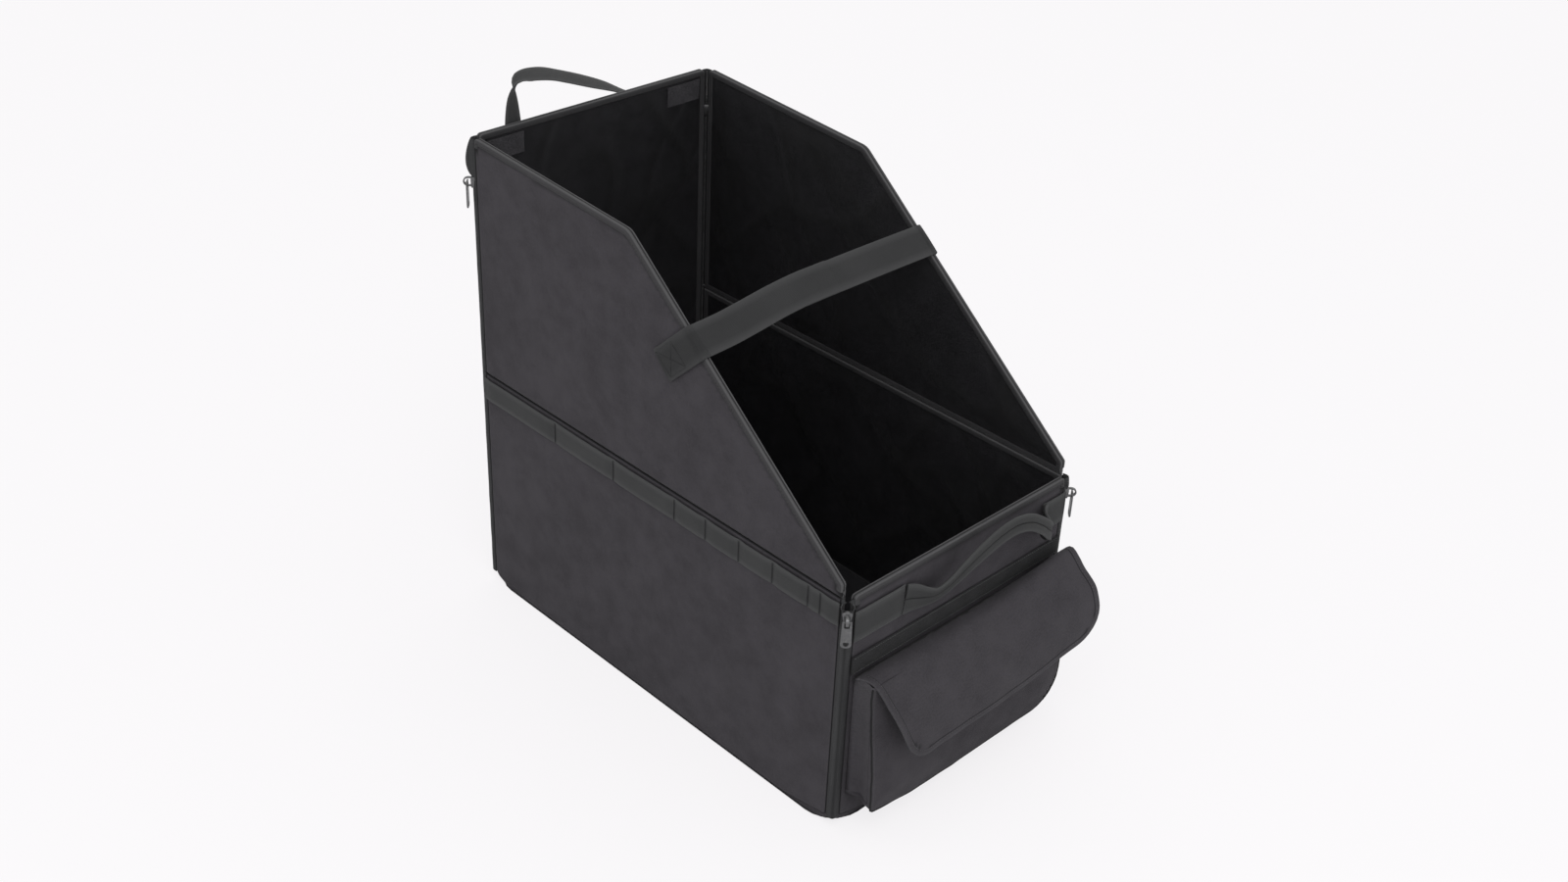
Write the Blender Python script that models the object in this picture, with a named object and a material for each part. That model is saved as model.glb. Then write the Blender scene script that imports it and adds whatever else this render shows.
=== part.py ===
"""Folding bike storage cover: an open fabric box on a stiff base.

The four walls are boards between an outer fabric and a lining, edged with binding tape, and zips
close the four corners. A low front wall carries a pocket with a flap and a carrying handle, the
side walls have a fold line at the height of the front wall, and a strap in two halves crosses
the box over the sloping edges.

Metres, +Z up. The origin is the middle of the base's underside. +X is the right side, -Y the front.
"""

import math

import bmesh
import bpy
from mathutils import Euler, Matrix, Vector

for old in list(bpy.data.objects):
    bpy.data.objects.remove(old, do_unlink=True)

# Driving dimensions of the box
WIDTH = 0.350
LENGTH = 0.600
FOLD_HEIGHT = 0.298
FRONT_RISE = 0.003  # the front wall's top above the fold line
UPPER_HEIGHT = 0.292  # the rear corner above the fold line
LEVEL_LENGTH = 0.268  # the side's nearly level top edge, from the rear corner
LEVEL_DROP = 0.015  # how far that edge falls on its way to the slope
NOSE_HEIGHT = 0.016  # the upper side panel's front end
CORNER_CUT = 0.0105  # how far each wall stops short of the corner
BASE_CORNER = 0.040
FOOT_LIFT = 0.012  # how far each wall's lower edge lifts towards its ends
SIDE_FOOT_RUN = 0.062  # over this length of a side wall
END_FOOT_RUN = 0.045  # and this length of the front and rear walls
FOOT_BEND = 0.150
FOOT_CORNER = 0.004
TOP_ROUND = 0.005
KINK_ROUND = 0.020

# Layers of a wall, from outside to inside
GAP = 0.0003
BINDING = 0.0008
FABRIC = 0.0010
BOARD = 0.0030
LINING = 0.0008
BASE_BOARD = 0.0040
BINDING_WIDTH = 0.007

# Webbing, strips and patches
WEBBING = 0.0020
WEBBING_WIDTH = 0.038
STRIP_HEIGHT = 0.028
STRIP_BELOW_FOLD = 0.005
FRONT_HEM = 0.018  # from the front wall's top to its band of webbing
FASTENER_HEIGHT = 0.022
FASTENER_DROP = 0.075  # from the front wall's top to the fastening strip
PATCH_WIDTH = 0.050
PATCH_HEIGHT = 0.024
PATCH_DROP = 0.010
PATCH_FROM_END = 0.002  # from the rear wall's binding to the patch

# Front pocket and its flap
POCKET_SIDE = 0.017  # from the side of the box to the pocket
POCKET_BOTTOM = 0.020
POCKET_BELOW_FLAP = 0.018
POCKET_DEPTH = 0.034
POCKET_CLOTH = 0.0012
POCKET_ROUND = 0.040
FLAP_SIDE = 0.014
FLAP_OUT = 0.075
FLAP_DROP = 0.078
FLAP_SWEEP = 70  # degrees of an ellipse that the flap's profile turns through
FLAP_BELOW_FASTENER = 0.006
FLAP_CLOTH = 0.0022
FLAP_ROUND = 0.028
FLAP_ROOT = 0.0005  # how far it reaches in from its axis to the wall

# Handles
FRONT_HANDLE_LEFT = 0.093  # from the middle of the wall to the left seam
FRONT_HANDLE_RIGHT = 0.130
FRONT_HANDLE_OUT = 0.028
FRONT_HANDLE_RISE = 1.5  # how much it climbs for each metre that it stands out
FRONT_HANDLE_WIDTH = 0.019  # webbing folded along its middle
FRONT_HANDLE_THICK = 0.0036
FRONT_HANDLE_PINCH = 0.15  # its width at the seams, as a share
FRONT_HANDLE_TAPER = 0.022  # how far from the seams it reaches its full width
REAR_HANDLE_REACH = 0.110  # from the middle of the wall to each foot
REAR_HANDLE_WIDTH = 0.025
REAR_HANDLE_RISE = 0.138  # height of the loop above its feet, before it leans
REAR_HANDLE_LEAN = 0.98  # how much lower, as a share, its loop is towards the right foot
REAR_HANDLE_FULLNESS = 0.35  # nearer 0 is a squarer loop
REAR_HANDLE_FOOT = 0.050  # the feet's upper ends below the wall's top
REAR_FOOT_LENGTH = 0.045

# Cross strap
STRAP_FROM_KINK = 0.126  # along the sloping edge
STRAP_PATCH = 0.062
STRAP_RISE = 0.007
STRAP_CLOTH = 0.0016
STRAP_TIP = 0.020  # the left half ends this far right of the middle
STRAP_LAP = 0.050

# Corner zips
ZIP_RECESS = 0.0015
TAPE = 0.0008
ZIP_FOOT = 0.014
ZIP_TOP_GAP = 0.004
SLIDER_WIDTH = 0.011
SLIDER_HEIGHT = 0.016
SLIDER_THICK = 0.0090
FRONT_SLIDER_DROP = 0.023
REAR_SLIDER_DROP = 0.054
SLIDER_EDGE = 0.0012
BAR = 0.0018  # the puller's top bar
CROWN_INNER = 0.0020
CROWN_OUTER = 0.0044
CROWN_WIDTH = 0.0034
CROWN_SUNK = 0.0010  # how far its feet reach into the slider
PULLER_LENGTH = 0.034
PULLER_WIDTH = 0.0110
PULLER_THICK = 0.0016

# How finely curved outlines are drawn
ARC_STEPS = 6
FLAP_STEPS = 8
STRAP_STEPS = 8
CROWN_STEPS = 12
FRONT_HANDLE_STEPS = 16
REAR_HANDLE_STEPS = 24

# Worked out from the sizes above
HALF_WIDTH = WIDTH / 2
HALF_LENGTH = LENGTH / 2
FRONT_HEIGHT = FOLD_HEIGHT + FRONT_RISE
REAR_HEIGHT = FOLD_HEIGHT + UPPER_HEIGHT
WALL_FOOT = FABRIC + GAP
FABRIC_IN = BINDING + GAP
BOARD_IN = FABRIC_IN + FABRIC + GAP
LINING_IN = BOARD_IN + BOARD + GAP
INNER_FLANGE_IN = LINING_IN + LINING + GAP
WALL = INNER_FLANGE_IN + BINDING
KINK_Y = HALF_LENGTH - LEVEL_LENGTH
KINK_Z = REAR_HEIGHT - LEVEL_DROP
END_X = HALF_WIDTH - CORNER_CUT
END_Y = HALF_LENGTH - CORNER_CUT
NOSE_Z = FOLD_HEIGHT + NOSE_HEIGHT
BAND_Z = FRONT_HEIGHT - FRONT_HEM - WEBBING_WIDTH / 2
FASTENER_TOP = FRONT_HEIGHT - FASTENER_DROP
FLAP_Z = FASTENER_TOP - FASTENER_HEIGHT - FLAP_BELOW_FASTENER
POCKET_TOP = FLAP_Z - POCKET_BELOW_FLAP
ON_WALL = GAP + WEBBING / 2  # how far the middle of a webbing piece lies outside the binding
ON_CLOTH = ON_WALL - FABRIC_IN  # the same for a piece on the cloth inside the binding
ZIP_MIDDLE = (CORNER_CUT + ZIP_RECESS) / 2
CROWN_OUT = TAPE / 2 + GAP + SLIDER_THICK + CROWN_INNER  # the puller's axis from the zip's tape

SIDES = {"left": -1, "right": 1}
ENDS = {"front": -1, "rear": 1}
SLIDER_HEIGHTS = {
    "front": FRONT_HEIGHT - FRONT_SLIDER_DROP,
    "rear": REAR_HEIGHT - REAR_SLIDER_DROP,
}

LEVEL = Euler((0, 0, 0))
ACROSS_SIDE = Euler((math.radians(90), 0, math.radians(90)))  # drawn in Y and Z, thick along X
ACROSS_END = Euler((math.radians(90), 0, 0))  # drawn in X and Z, thick along -Y

parts = bpy.data.collections.new("folding_bike_storage_cover")
cutters = bpy.data.collections.new("cutters")
bpy.context.scene.collection.children.link(parts)
bpy.context.scene.collection.children.link(cutters)
cutters.hide_render = True


def material(name, colour, roughness, metallic=0.0):
    made = bpy.data.materials.new(name)
    made.use_nodes = True
    shader = made.node_tree.nodes["Principled BSDF"]
    shader.inputs["Base Color"].default_value = (*colour, 1)
    shader.inputs["Roughness"].default_value = roughness
    shader.inputs["Metallic"].default_value = metallic
    return made


OUTER_CLOTH = material("outer_cloth", (0.043, 0.041, 0.046), 0.85)
LINING_CLOTH = material("lining_cloth", (0.012, 0.012, 0.013), 0.80)
TAPE_CLOTH = material("binding_tape", (0.050, 0.050, 0.052), 0.75)
WEBBING_CLOTH = material("webbing", (0.047, 0.050, 0.048), 0.80)
FASTENER_CLOTH = material("fastener_strip", (0.020, 0.020, 0.021), 0.95)
CARD = material("stiff_board", (0.030, 0.030, 0.030), 0.70)
ZIP_CLOTH = material("zip_tape", (0.045, 0.047, 0.048), 0.70)
ZIP_METAL = material("zip_metal", (0.090, 0.090, 0.094), 0.45, 0.9)

anchors = {}


def joint(body, place, carrier):
    """An empty on the joint's axis, which the body's pieces are parented to."""
    empty = bpy.data.objects.new(f"{body}_joint", None)
    parts.objects.link(empty)
    place = Vector(place)
    anchors[body] = (empty, place)
    if carrier:
        empty.parent = anchors[carrier][0]
        place = place - anchors[carrier][1]
    empty.location = place


def finish(obj, body, finish_material):
    """Puts a piece in the part's collection, on its body and in its material."""
    obj.data.materials.append(finish_material)
    parts.objects.link(obj)
    empty, place = anchors[body]
    obj.parent = empty
    obj.location = obj.location - place
    return obj


def outline(corners, grow=0.0):
    """Points of a closed anticlockwise outline with rounded corners, moved outwards by grow."""
    points = []
    for i, (x, y, rounding) in enumerate(corners):
        here = Vector((x, y))
        before = Vector(corners[i - 1][:2])
        after = Vector(corners[(i + 1) % len(corners)][:2])
        into = (here - before).normalized()
        away = (after - here).normalized()
        side_in = Vector((into.y, -into.x))
        side_out = Vector((away.y, -away.x))
        here = here + (side_in + side_out) * grow / (1 + side_in.dot(side_out))
        radius = max(rounding + grow, 0.0)
        if radius == 0.0:
            points.append(here)
            continue
        turn = into.angle(away)
        centre = here - into * radius * math.tan(turn / 2) - side_in * radius
        start = math.atan2(side_in.y, side_in.x)
        for step in range(ARC_STEPS + 1):
            angle = start + turn * step / ARC_STEPS
            points.append(centre + radius * Vector((math.cos(angle), math.sin(angle))))
    return points


def box_outline(low_x, high_x, low_y, high_y, foot_round=0.0, top_round=0.0):
    return [
        (low_x, low_y, foot_round),
        (high_x, low_y, foot_round),
        (high_x, high_y, top_round),
        (low_x, high_y, top_round),
    ]


def wall_outline(half, high, foot_run, top_round):
    """A wall with a straight lower edge that lifts a little towards both ends."""
    return [
        (-half, WALL_FOOT + FOOT_LIFT, FOOT_CORNER),
        (-half + foot_run, WALL_FOOT, FOOT_BEND),
        (half - foot_run, WALL_FOOT, FOOT_BEND),
        (half, WALL_FOOT + FOOT_LIFT, FOOT_CORNER),
        (half, high, top_round),
        (-half, high, top_round),
    ]


def strap_outline(path, thickness):
    """A strip of even thickness along a path: out along one side and back along the other."""
    sides = ([], [])
    for i, point in enumerate(path):
        ahead = path[min(i + 1, len(path) - 1)]
        behind = path[max(i - 1, 0)]
        along = (ahead - behind).normalized()
        across = Vector((along.y, -along.x)) * thickness / 2
        sides[0].append(point + across)
        sides[1].append(point - across)
    return sides[0] + sides[1][::-1]


def flat(name, outlines, turn, place, thickness):
    """A flat piece: a 2D curve, whose later outlines are holes, extruded to its thickness."""
    curve = bpy.data.curves.new(name, "CURVE")
    curve.dimensions = "2D"
    curve.fill_mode = "BOTH"
    curve.extrude = thickness / 2
    for points in outlines:
        spline = curve.splines.new("POLY")
        spline.points.add(len(points) - 1)
        for spot, point in zip(spline.points, points):
            spot.co = (point.x, point.y, 0, 1)
        spline.use_cyclic_u = True
    obj = bpy.data.objects.new(name, curve)
    obj.rotation_euler = turn
    obj.location = place
    return obj


def meshed(obj):
    """The same piece as a closed mesh, which a Boolean can cut or join."""
    parts.objects.link(obj)
    bpy.context.view_layer.update()
    graph = bpy.context.evaluated_depsgraph_get()
    mesh = bpy.data.meshes.new_from_object(obj.evaluated_get(graph))
    shape = bmesh.new()
    shape.from_mesh(mesh)
    bmesh.ops.remove_doubles(shape, verts=shape.verts, dist=0.00001)
    bmesh.ops.recalc_face_normals(shape, faces=shape.faces)
    shape.to_mesh(mesh)
    shape.free()
    name, place, turn = obj.name, obj.location.copy(), obj.rotation_euler.copy()
    bpy.data.objects.remove(obj, do_unlink=True)
    solid = bpy.data.objects.new(name, mesh)
    solid.location = place
    solid.rotation_euler = turn
    return solid


def combine(obj, other, operation):
    """Cuts the other mesh from this one, or joins it to this one, and hides it."""
    cutters.objects.link(other)
    other.hide_render = True
    other.display_type = "WIRE"
    boolean = obj.modifiers.new(other.name, "BOOLEAN")
    boolean.operation = operation
    boolean.object = other
    boolean.solver = "EXACT"


def panel(name, body, corners, turn, outward, outer_face):
    """A wall: outer fabric, board and lining in a channel of binding tape round all its edges.

    outward is the unit vector out of the box, and outer_face how far out the binding lies.
    """
    layers = (
        ("fabric", FABRIC_IN, FABRIC, OUTER_CLOTH),
        ("board", BOARD_IN, BOARD, CARD),
        ("lining", LINING_IN, LINING, LINING_CLOTH),
    )
    inside = outline(corners, -(BINDING + GAP))
    for layer, depth, thickness, cloth in layers:
        place = outward * (outer_face - depth - thickness / 2)
        finish(flat(f"{name}_{layer}", [inside], turn, place, thickness), body, cloth)
    middle = outward * (outer_face - WALL / 2)
    tape = meshed(flat(f"{name}_binding", [outline(corners)], turn, middle, WALL))
    slot_outline = outline(corners, -BINDING)
    slot = flat(f"{name}_slot", [slot_outline], turn, middle, WALL - 2 * BINDING)
    window_outline = outline(corners, -BINDING_WIDTH)
    window = flat(f"{name}_window", [window_outline], turn, middle, 2 * WALL)
    combine(tape, meshed(slot), "DIFFERENCE")
    combine(tape, meshed(window), "DIFFERENCE")
    finish(tape, body, TAPE_CLOTH)


def base():
    joint("base", (0, 0, 0), None)
    skin = box_outline(
        GAP - HALF_WIDTH,
        HALF_WIDTH - GAP,
        GAP - HALF_LENGTH,
        HALF_LENGTH - GAP,
        BASE_CORNER,
        BASE_CORNER,
    )
    finish(
        flat("base_fabric", [outline(skin)], LEVEL, (0, 0, FABRIC / 2), FABRIC),
        "base",
        OUTER_CLOTH,
    )
    inside = outline(skin, -(WALL + GAP))
    board_z = FABRIC + GAP + BASE_BOARD / 2
    finish(flat("base_board", [inside], LEVEL, (0, 0, board_z), BASE_BOARD), "base", CARD)
    lining_z = FABRIC + 2 * GAP + BASE_BOARD + LINING / 2
    lining = flat("base_lining", [inside], LEVEL, (0, 0, lining_z), LINING)
    finish(lining, "base", LINING_CLOTH)


def end_wall(end):
    """The front or rear wall, which folds out about its lower outer edge."""
    body = f"{end}_wall"
    height = FRONT_HEIGHT if end == "front" else REAR_HEIGHT
    joint(body, (0, ENDS[end] * HALF_LENGTH, 0), "base")
    corners = wall_outline(END_X, height, END_FOOT_RUN, TOP_ROUND)
    panel(end, body, corners, ACROSS_END, Vector((0, ENDS[end], 0)), HALF_LENGTH)


def side_wall(side):
    """A side wall: the lower panel folds out at the base, and the upper one at the fold line."""
    outward = Vector((SIDES[side], 0, 0))
    lower, upper = f"side_{side}_lower", f"side_{side}_upper"
    joint(lower, outward * HALF_WIDTH, "base")
    corners = wall_outline(END_Y, FOLD_HEIGHT - GAP, SIDE_FOOT_RUN, GAP)
    panel(lower, lower, corners, ACROSS_SIDE, outward, HALF_WIDTH)
    strip_top = FOLD_HEIGHT - STRIP_BELOW_FOLD
    strip = outline(box_outline(-END_Y, END_Y, strip_top - STRIP_HEIGHT, strip_top))
    place = outward * (HALF_WIDTH + ON_WALL)
    webbing = flat(f"side_{side}_webbing", [strip], ACROSS_SIDE, place, WEBBING)
    finish(webbing, lower, WEBBING_CLOTH)

    joint(upper, outward * HALF_WIDTH + Vector((0, 0, FOLD_HEIGHT)), lower)
    corners = [
        (-END_Y, FOLD_HEIGHT + GAP, GAP),
        (END_Y, FOLD_HEIGHT + GAP, GAP),
        (END_Y, REAR_HEIGHT, TOP_ROUND),
        (KINK_Y, KINK_Z, KINK_ROUND),
        (-END_Y, NOSE_Z, TOP_ROUND),
    ]
    panel(upper, upper, corners, ACROSS_SIDE, outward, HALF_WIDTH)


def slope_frame():
    """The middle of the strap on the sloping edge, and the directions along and up from the edge."""
    kink = Vector((0, KINK_Y, KINK_Z))
    nose = Vector((0, -END_Y, NOSE_Z))
    along = (nose - kink).normalized()
    return kink + along * STRAP_FROM_KINK, along, Vector((0, along.z, -along.y))


def strap_half(side):
    """Webbing sewn to the outside of the upper panel, over its edge and across the box.

    It is drawn in X and in height above the sloping edge, and is as wide along the edge.
    """
    middle, along, up = slope_frame()
    sign = SIDES[side]
    over = GAP + STRAP_CLOTH / 2
    path = [Vector((sign * (HALF_WIDTH + over), -STRAP_PATCH))]
    for step in range(ARC_STEPS + 1):
        angle = math.radians(90) * step / ARC_STEPS
        bend = Vector((sign * math.cos(angle), math.sin(angle))) * (over + GAP)
        path.append(Vector((sign * HALF_WIDTH, 0)) + bend)
    path[0].x = path[1].x
    shoulder = sign * (HALF_WIDTH - WALL)
    shoulder_height = path[-1].y
    path.append(Vector((shoulder, shoulder_height)))
    tip = STRAP_TIP if side == "left" else STRAP_TIP - STRAP_LAP
    rise = STRAP_RISE if side == "left" else STRAP_RISE - STRAP_CLOTH - GAP
    for step in range(STRAP_STEPS):
        x = shoulder + (tip - shoulder) * (step + 1) / STRAP_STEPS
        arch = rise * (1 - (x / shoulder) ** 2)
        path.append(Vector((x, shoulder_height + arch)))
    frame = Matrix((Vector((1, 0, 0)), up, Vector((1, 0, 0)).cross(up))).transposed()
    points = strap_outline(path, STRAP_CLOTH)
    strap = flat(f"strap_{side}", [points], frame.to_euler(), middle, WEBBING_WIDTH)
    finish(strap, f"side_{side}_upper", WEBBING_CLOTH)


def front_webbing():
    """The band across the front wall, sewn down on both sides of the handle, and the fastener."""
    place = Vector((0, -HALF_LENGTH - ON_WALL, 0))
    low, high = BAND_Z - WEBBING_WIDTH / 2, BAND_Z + WEBBING_WIDTH / 2
    spans = {"left": (-END_X, -FRONT_HANDLE_LEFT), "right": (FRONT_HANDLE_RIGHT, END_X)}
    for side, (start, end) in spans.items():
        points = outline(box_outline(start, end, low, high))
        band = flat(f"front_band_{side}", [points], ACROSS_END, place, WEBBING)
        finish(band, "front_wall", WEBBING_CLOTH)
    points = outline(
        box_outline(-END_X, END_X, FASTENER_TOP - FASTENER_HEIGHT, FASTENER_TOP)
    )
    strip = flat("front_fastener_strip", [points], ACROSS_END, place, WEBBING)
    finish(strip, "front_wall", FASTENER_CLOTH)


def front_handle():
    """The free middle of the band, folded along its middle and bulging out and up."""
    seat = Vector((0, -HALF_LENGTH - ON_WALL - GAP, BAND_Z))
    joint("front_handle", seat, "front_wall")
    end_gap = GAP + FRONT_HANDLE_THICK / 2
    start, end = end_gap - FRONT_HANDLE_LEFT, FRONT_HANDLE_RIGHT - end_gap
    path = [Vector((start, 0))]
    for step in range(FRONT_HANDLE_STEPS + 1):
        angle = math.pi * step / FRONT_HANDLE_STEPS
        x = (start + end) / 2 - (end - start) / 2 * math.cos(angle)
        path.append(Vector((x, -GAP - FRONT_HANDLE_OUT * math.sin(angle))))
    path.append(Vector((end, 0)))
    points = strap_outline(path, FRONT_HANDLE_THICK)
    lean = Matrix.Identity(4)
    lean[2][1] = -FRONT_HANDLE_RISE
    loop = meshed(flat("front_handle", [points], LEVEL, (0, 0, 0), FRONT_HANDLE_WIDTH))
    for vertex in loop.data.vertices:
        to_seam = max(min(vertex.co.x - start, end - vertex.co.x), 0)
        share = min(to_seam / FRONT_HANDLE_TAPER, 1)
        vertex.co.z *= FRONT_HANDLE_PINCH + (1 - FRONT_HANDLE_PINCH) * share
    loop.data.transform(lean)
    loop.location = seat
    finish(loop, "front_handle", WEBBING_CLOTH)


def pocket():
    """A flat bag on the front wall, open at the top and closed at the back by the wall."""
    low, high = POCKET_SIDE - HALF_WIDTH, HALF_WIDTH - POCKET_SIDE
    shell = box_outline(low, high, POCKET_BOTTOM, POCKET_TOP, POCKET_ROUND)
    middle = HALF_LENGTH + GAP + POCKET_DEPTH / 2
    place = Vector((0, -middle, 0))
    bag = meshed(flat("pocket_bag", [outline(shell)], ACROSS_END, place, POCKET_DEPTH))
    hollow = box_outline(low, high, POCKET_BOTTOM, 2 * POCKET_TOP, POCKET_ROUND)
    place = Vector((0, POCKET_CLOTH - middle, 0))
    inside = outline(hollow, -POCKET_CLOTH)
    cut = flat("pocket_hollow", [inside], ACROSS_END, place, POCKET_DEPTH)
    combine(bag, meshed(cut), "DIFFERENCE")
    finish(bag, "front_wall", OUTER_CLOTH)


def pocket_flap():
    """A curved lid over the pocket's mouth, sewn to the wall along its upper edge."""
    seat = Vector((0, -HALF_LENGTH - ON_WALL, FLAP_Z))
    joint("pocket_flap", seat, "front_wall")
    path = [seat.yz + Vector((FLAP_ROOT, 0))]
    sweep = math.radians(FLAP_SWEEP)
    for step in range(FLAP_STEPS + 1):
        angle = sweep * step / FLAP_STEPS
        out = FLAP_OUT * math.sin(angle) / math.sin(sweep)
        drop = FLAP_DROP * (1 - math.cos(angle)) / (1 - math.cos(sweep))
        path.append(seat.yz + Vector((-out, -drop)))
    points = strap_outline(path, FLAP_CLOTH)
    flap_width = WIDTH - 2 * FLAP_SIDE
    lid = meshed(flat("pocket_flap", [points], ACROSS_SIDE, (0, 0, 0), flap_width))
    low = seat.z - FLAP_DROP
    frame = box_outline(
        -flap_width / 2, flap_width / 2, low, seat.z + FLAP_ROUND, FLAP_ROUND
    )
    place = Vector((0, seat.y - FLAP_OUT / 2, 0))
    shape = flat("flap_outline", [outline(frame)], ACROSS_END, place, 2 * FLAP_OUT)
    combine(lid, meshed(shape), "INTERSECT")
    finish(lid, "pocket_flap", OUTER_CLOTH)


def rear_details():
    """The rear wall's handle and its feet outside, and two fastener patches inside."""
    outside = HALF_LENGTH + ON_CLOTH
    inside = HALF_LENGTH - INNER_FLANGE_IN - WEBBING / 2
    foot_top = REAR_HEIGHT - REAR_HANDLE_FOOT
    loop_face = outside + WEBBING / 2 + GAP
    joint("rear_handle", (0, loop_face, foot_top), "rear_wall")
    half = REAR_HANDLE_WIDTH / 2
    for side, sign in SIDES.items():
        middle = sign * REAR_HANDLE_REACH
        foot = box_outline(middle - half, middle + half, foot_top - REAR_FOOT_LENGTH, foot_top)
        piece = flat(
            f"rear_handle_foot_{side}",
            [outline(foot)],
            ACROSS_END,
            (0, outside, 0),
            WEBBING,
        )
        finish(piece, "rear_wall", WEBBING_CLOTH)
        inner_end = END_X - BINDING_WIDTH - PATCH_FROM_END
        span = sorted((sign * inner_end, sign * (inner_end - PATCH_WIDTH)))
        patch_top = REAR_HEIGHT - PATCH_DROP
        patch = box_outline(*span, patch_top - PATCH_HEIGHT, patch_top)
        piece = flat(
            f"rear_patch_{side}", [outline(patch)], ACROSS_END, (0, inside, 0), WEBBING
        )
        finish(piece, "rear_wall", FASTENER_CLOTH)
    path = []
    for step in range(REAR_HANDLE_STEPS + 1):
        angle = math.pi * step / REAR_HANDLE_STEPS
        lean = 1 - REAR_HANDLE_LEAN * step / REAR_HANDLE_STEPS
        z = REAR_HANDLE_RISE * max(math.sin(angle), 0) ** REAR_HANDLE_FULLNESS * lean
        path.append(Vector((-REAR_HANDLE_REACH * math.cos(angle), foot_top + GAP + z)))
    points = strap_outline(path, WEBBING)
    place = (0, loop_face + half, 0)
    loop = flat("rear_handle", [points], ACROSS_END, place, REAR_HANDLE_WIDTH)
    finish(loop, "rear_handle", WEBBING_CLOTH)


def tape_half(name, body, side, end, on_side_wall, low, high):
    """Half of a corner zip's tape, from the edge of one wall to the middle of the corner."""
    corner = Vector((SIDES[side] * HALF_WIDTH, ENDS[end] * HALF_LENGTH, 0))
    inward_x = Vector((-SIDES[side], 0, 0))
    inward_y = Vector((0, -ENDS[end], 0))
    near, far = (inward_x, inward_y) if on_side_wall else (inward_y, inward_x)
    edge = corner + near * ZIP_RECESS + far * (CORNER_CUT - GAP)
    seam = corner + (near + far) * ZIP_MIDDLE + (far - near) * GAP
    along = (seam - edge).normalized()
    size = (seam - edge).length
    middle = (seam + edge) / 2 + Vector((0, 0, (low + high) / 2))
    points = outline(box_outline(-size / 2, size / 2, (low - high) / 2, (high - low) / 2))
    turn = Euler((math.radians(90), 0, math.atan2(along.y, along.x)))
    finish(flat(name, [points], turn, middle, TAPE), body, ZIP_CLOTH)


def zips():
    for side in SIDES:
        top = FOLD_HEIGHT - GAP
        lower, upper = f"side_{side}_lower", f"side_{side}_upper"
        tape_half(f"zip_front_{side}_side_tape", lower, side, "front", True, ZIP_FOOT, top)
        tape_half(f"zip_rear_{side}_side_tape", lower, side, "rear", True, ZIP_FOOT, top)
        low, high = FOLD_HEIGHT + GAP, REAR_HEIGHT - ZIP_TOP_GAP
        tape_half(f"zip_rear_{side}_upper_tape", upper, side, "rear", True, low, high)
        high = FRONT_HEIGHT - ZIP_TOP_GAP
        tape_half(f"zip_front_{side}_end_tape", "front_wall", side, "front", False, ZIP_FOOT, high)
        high = REAR_HEIGHT - ZIP_TOP_GAP
        tape_half(f"zip_rear_{side}_end_tape", "rear_wall", side, "rear", False, ZIP_FOOT, high)
        for end in ENDS:
            slider(side, end)


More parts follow.
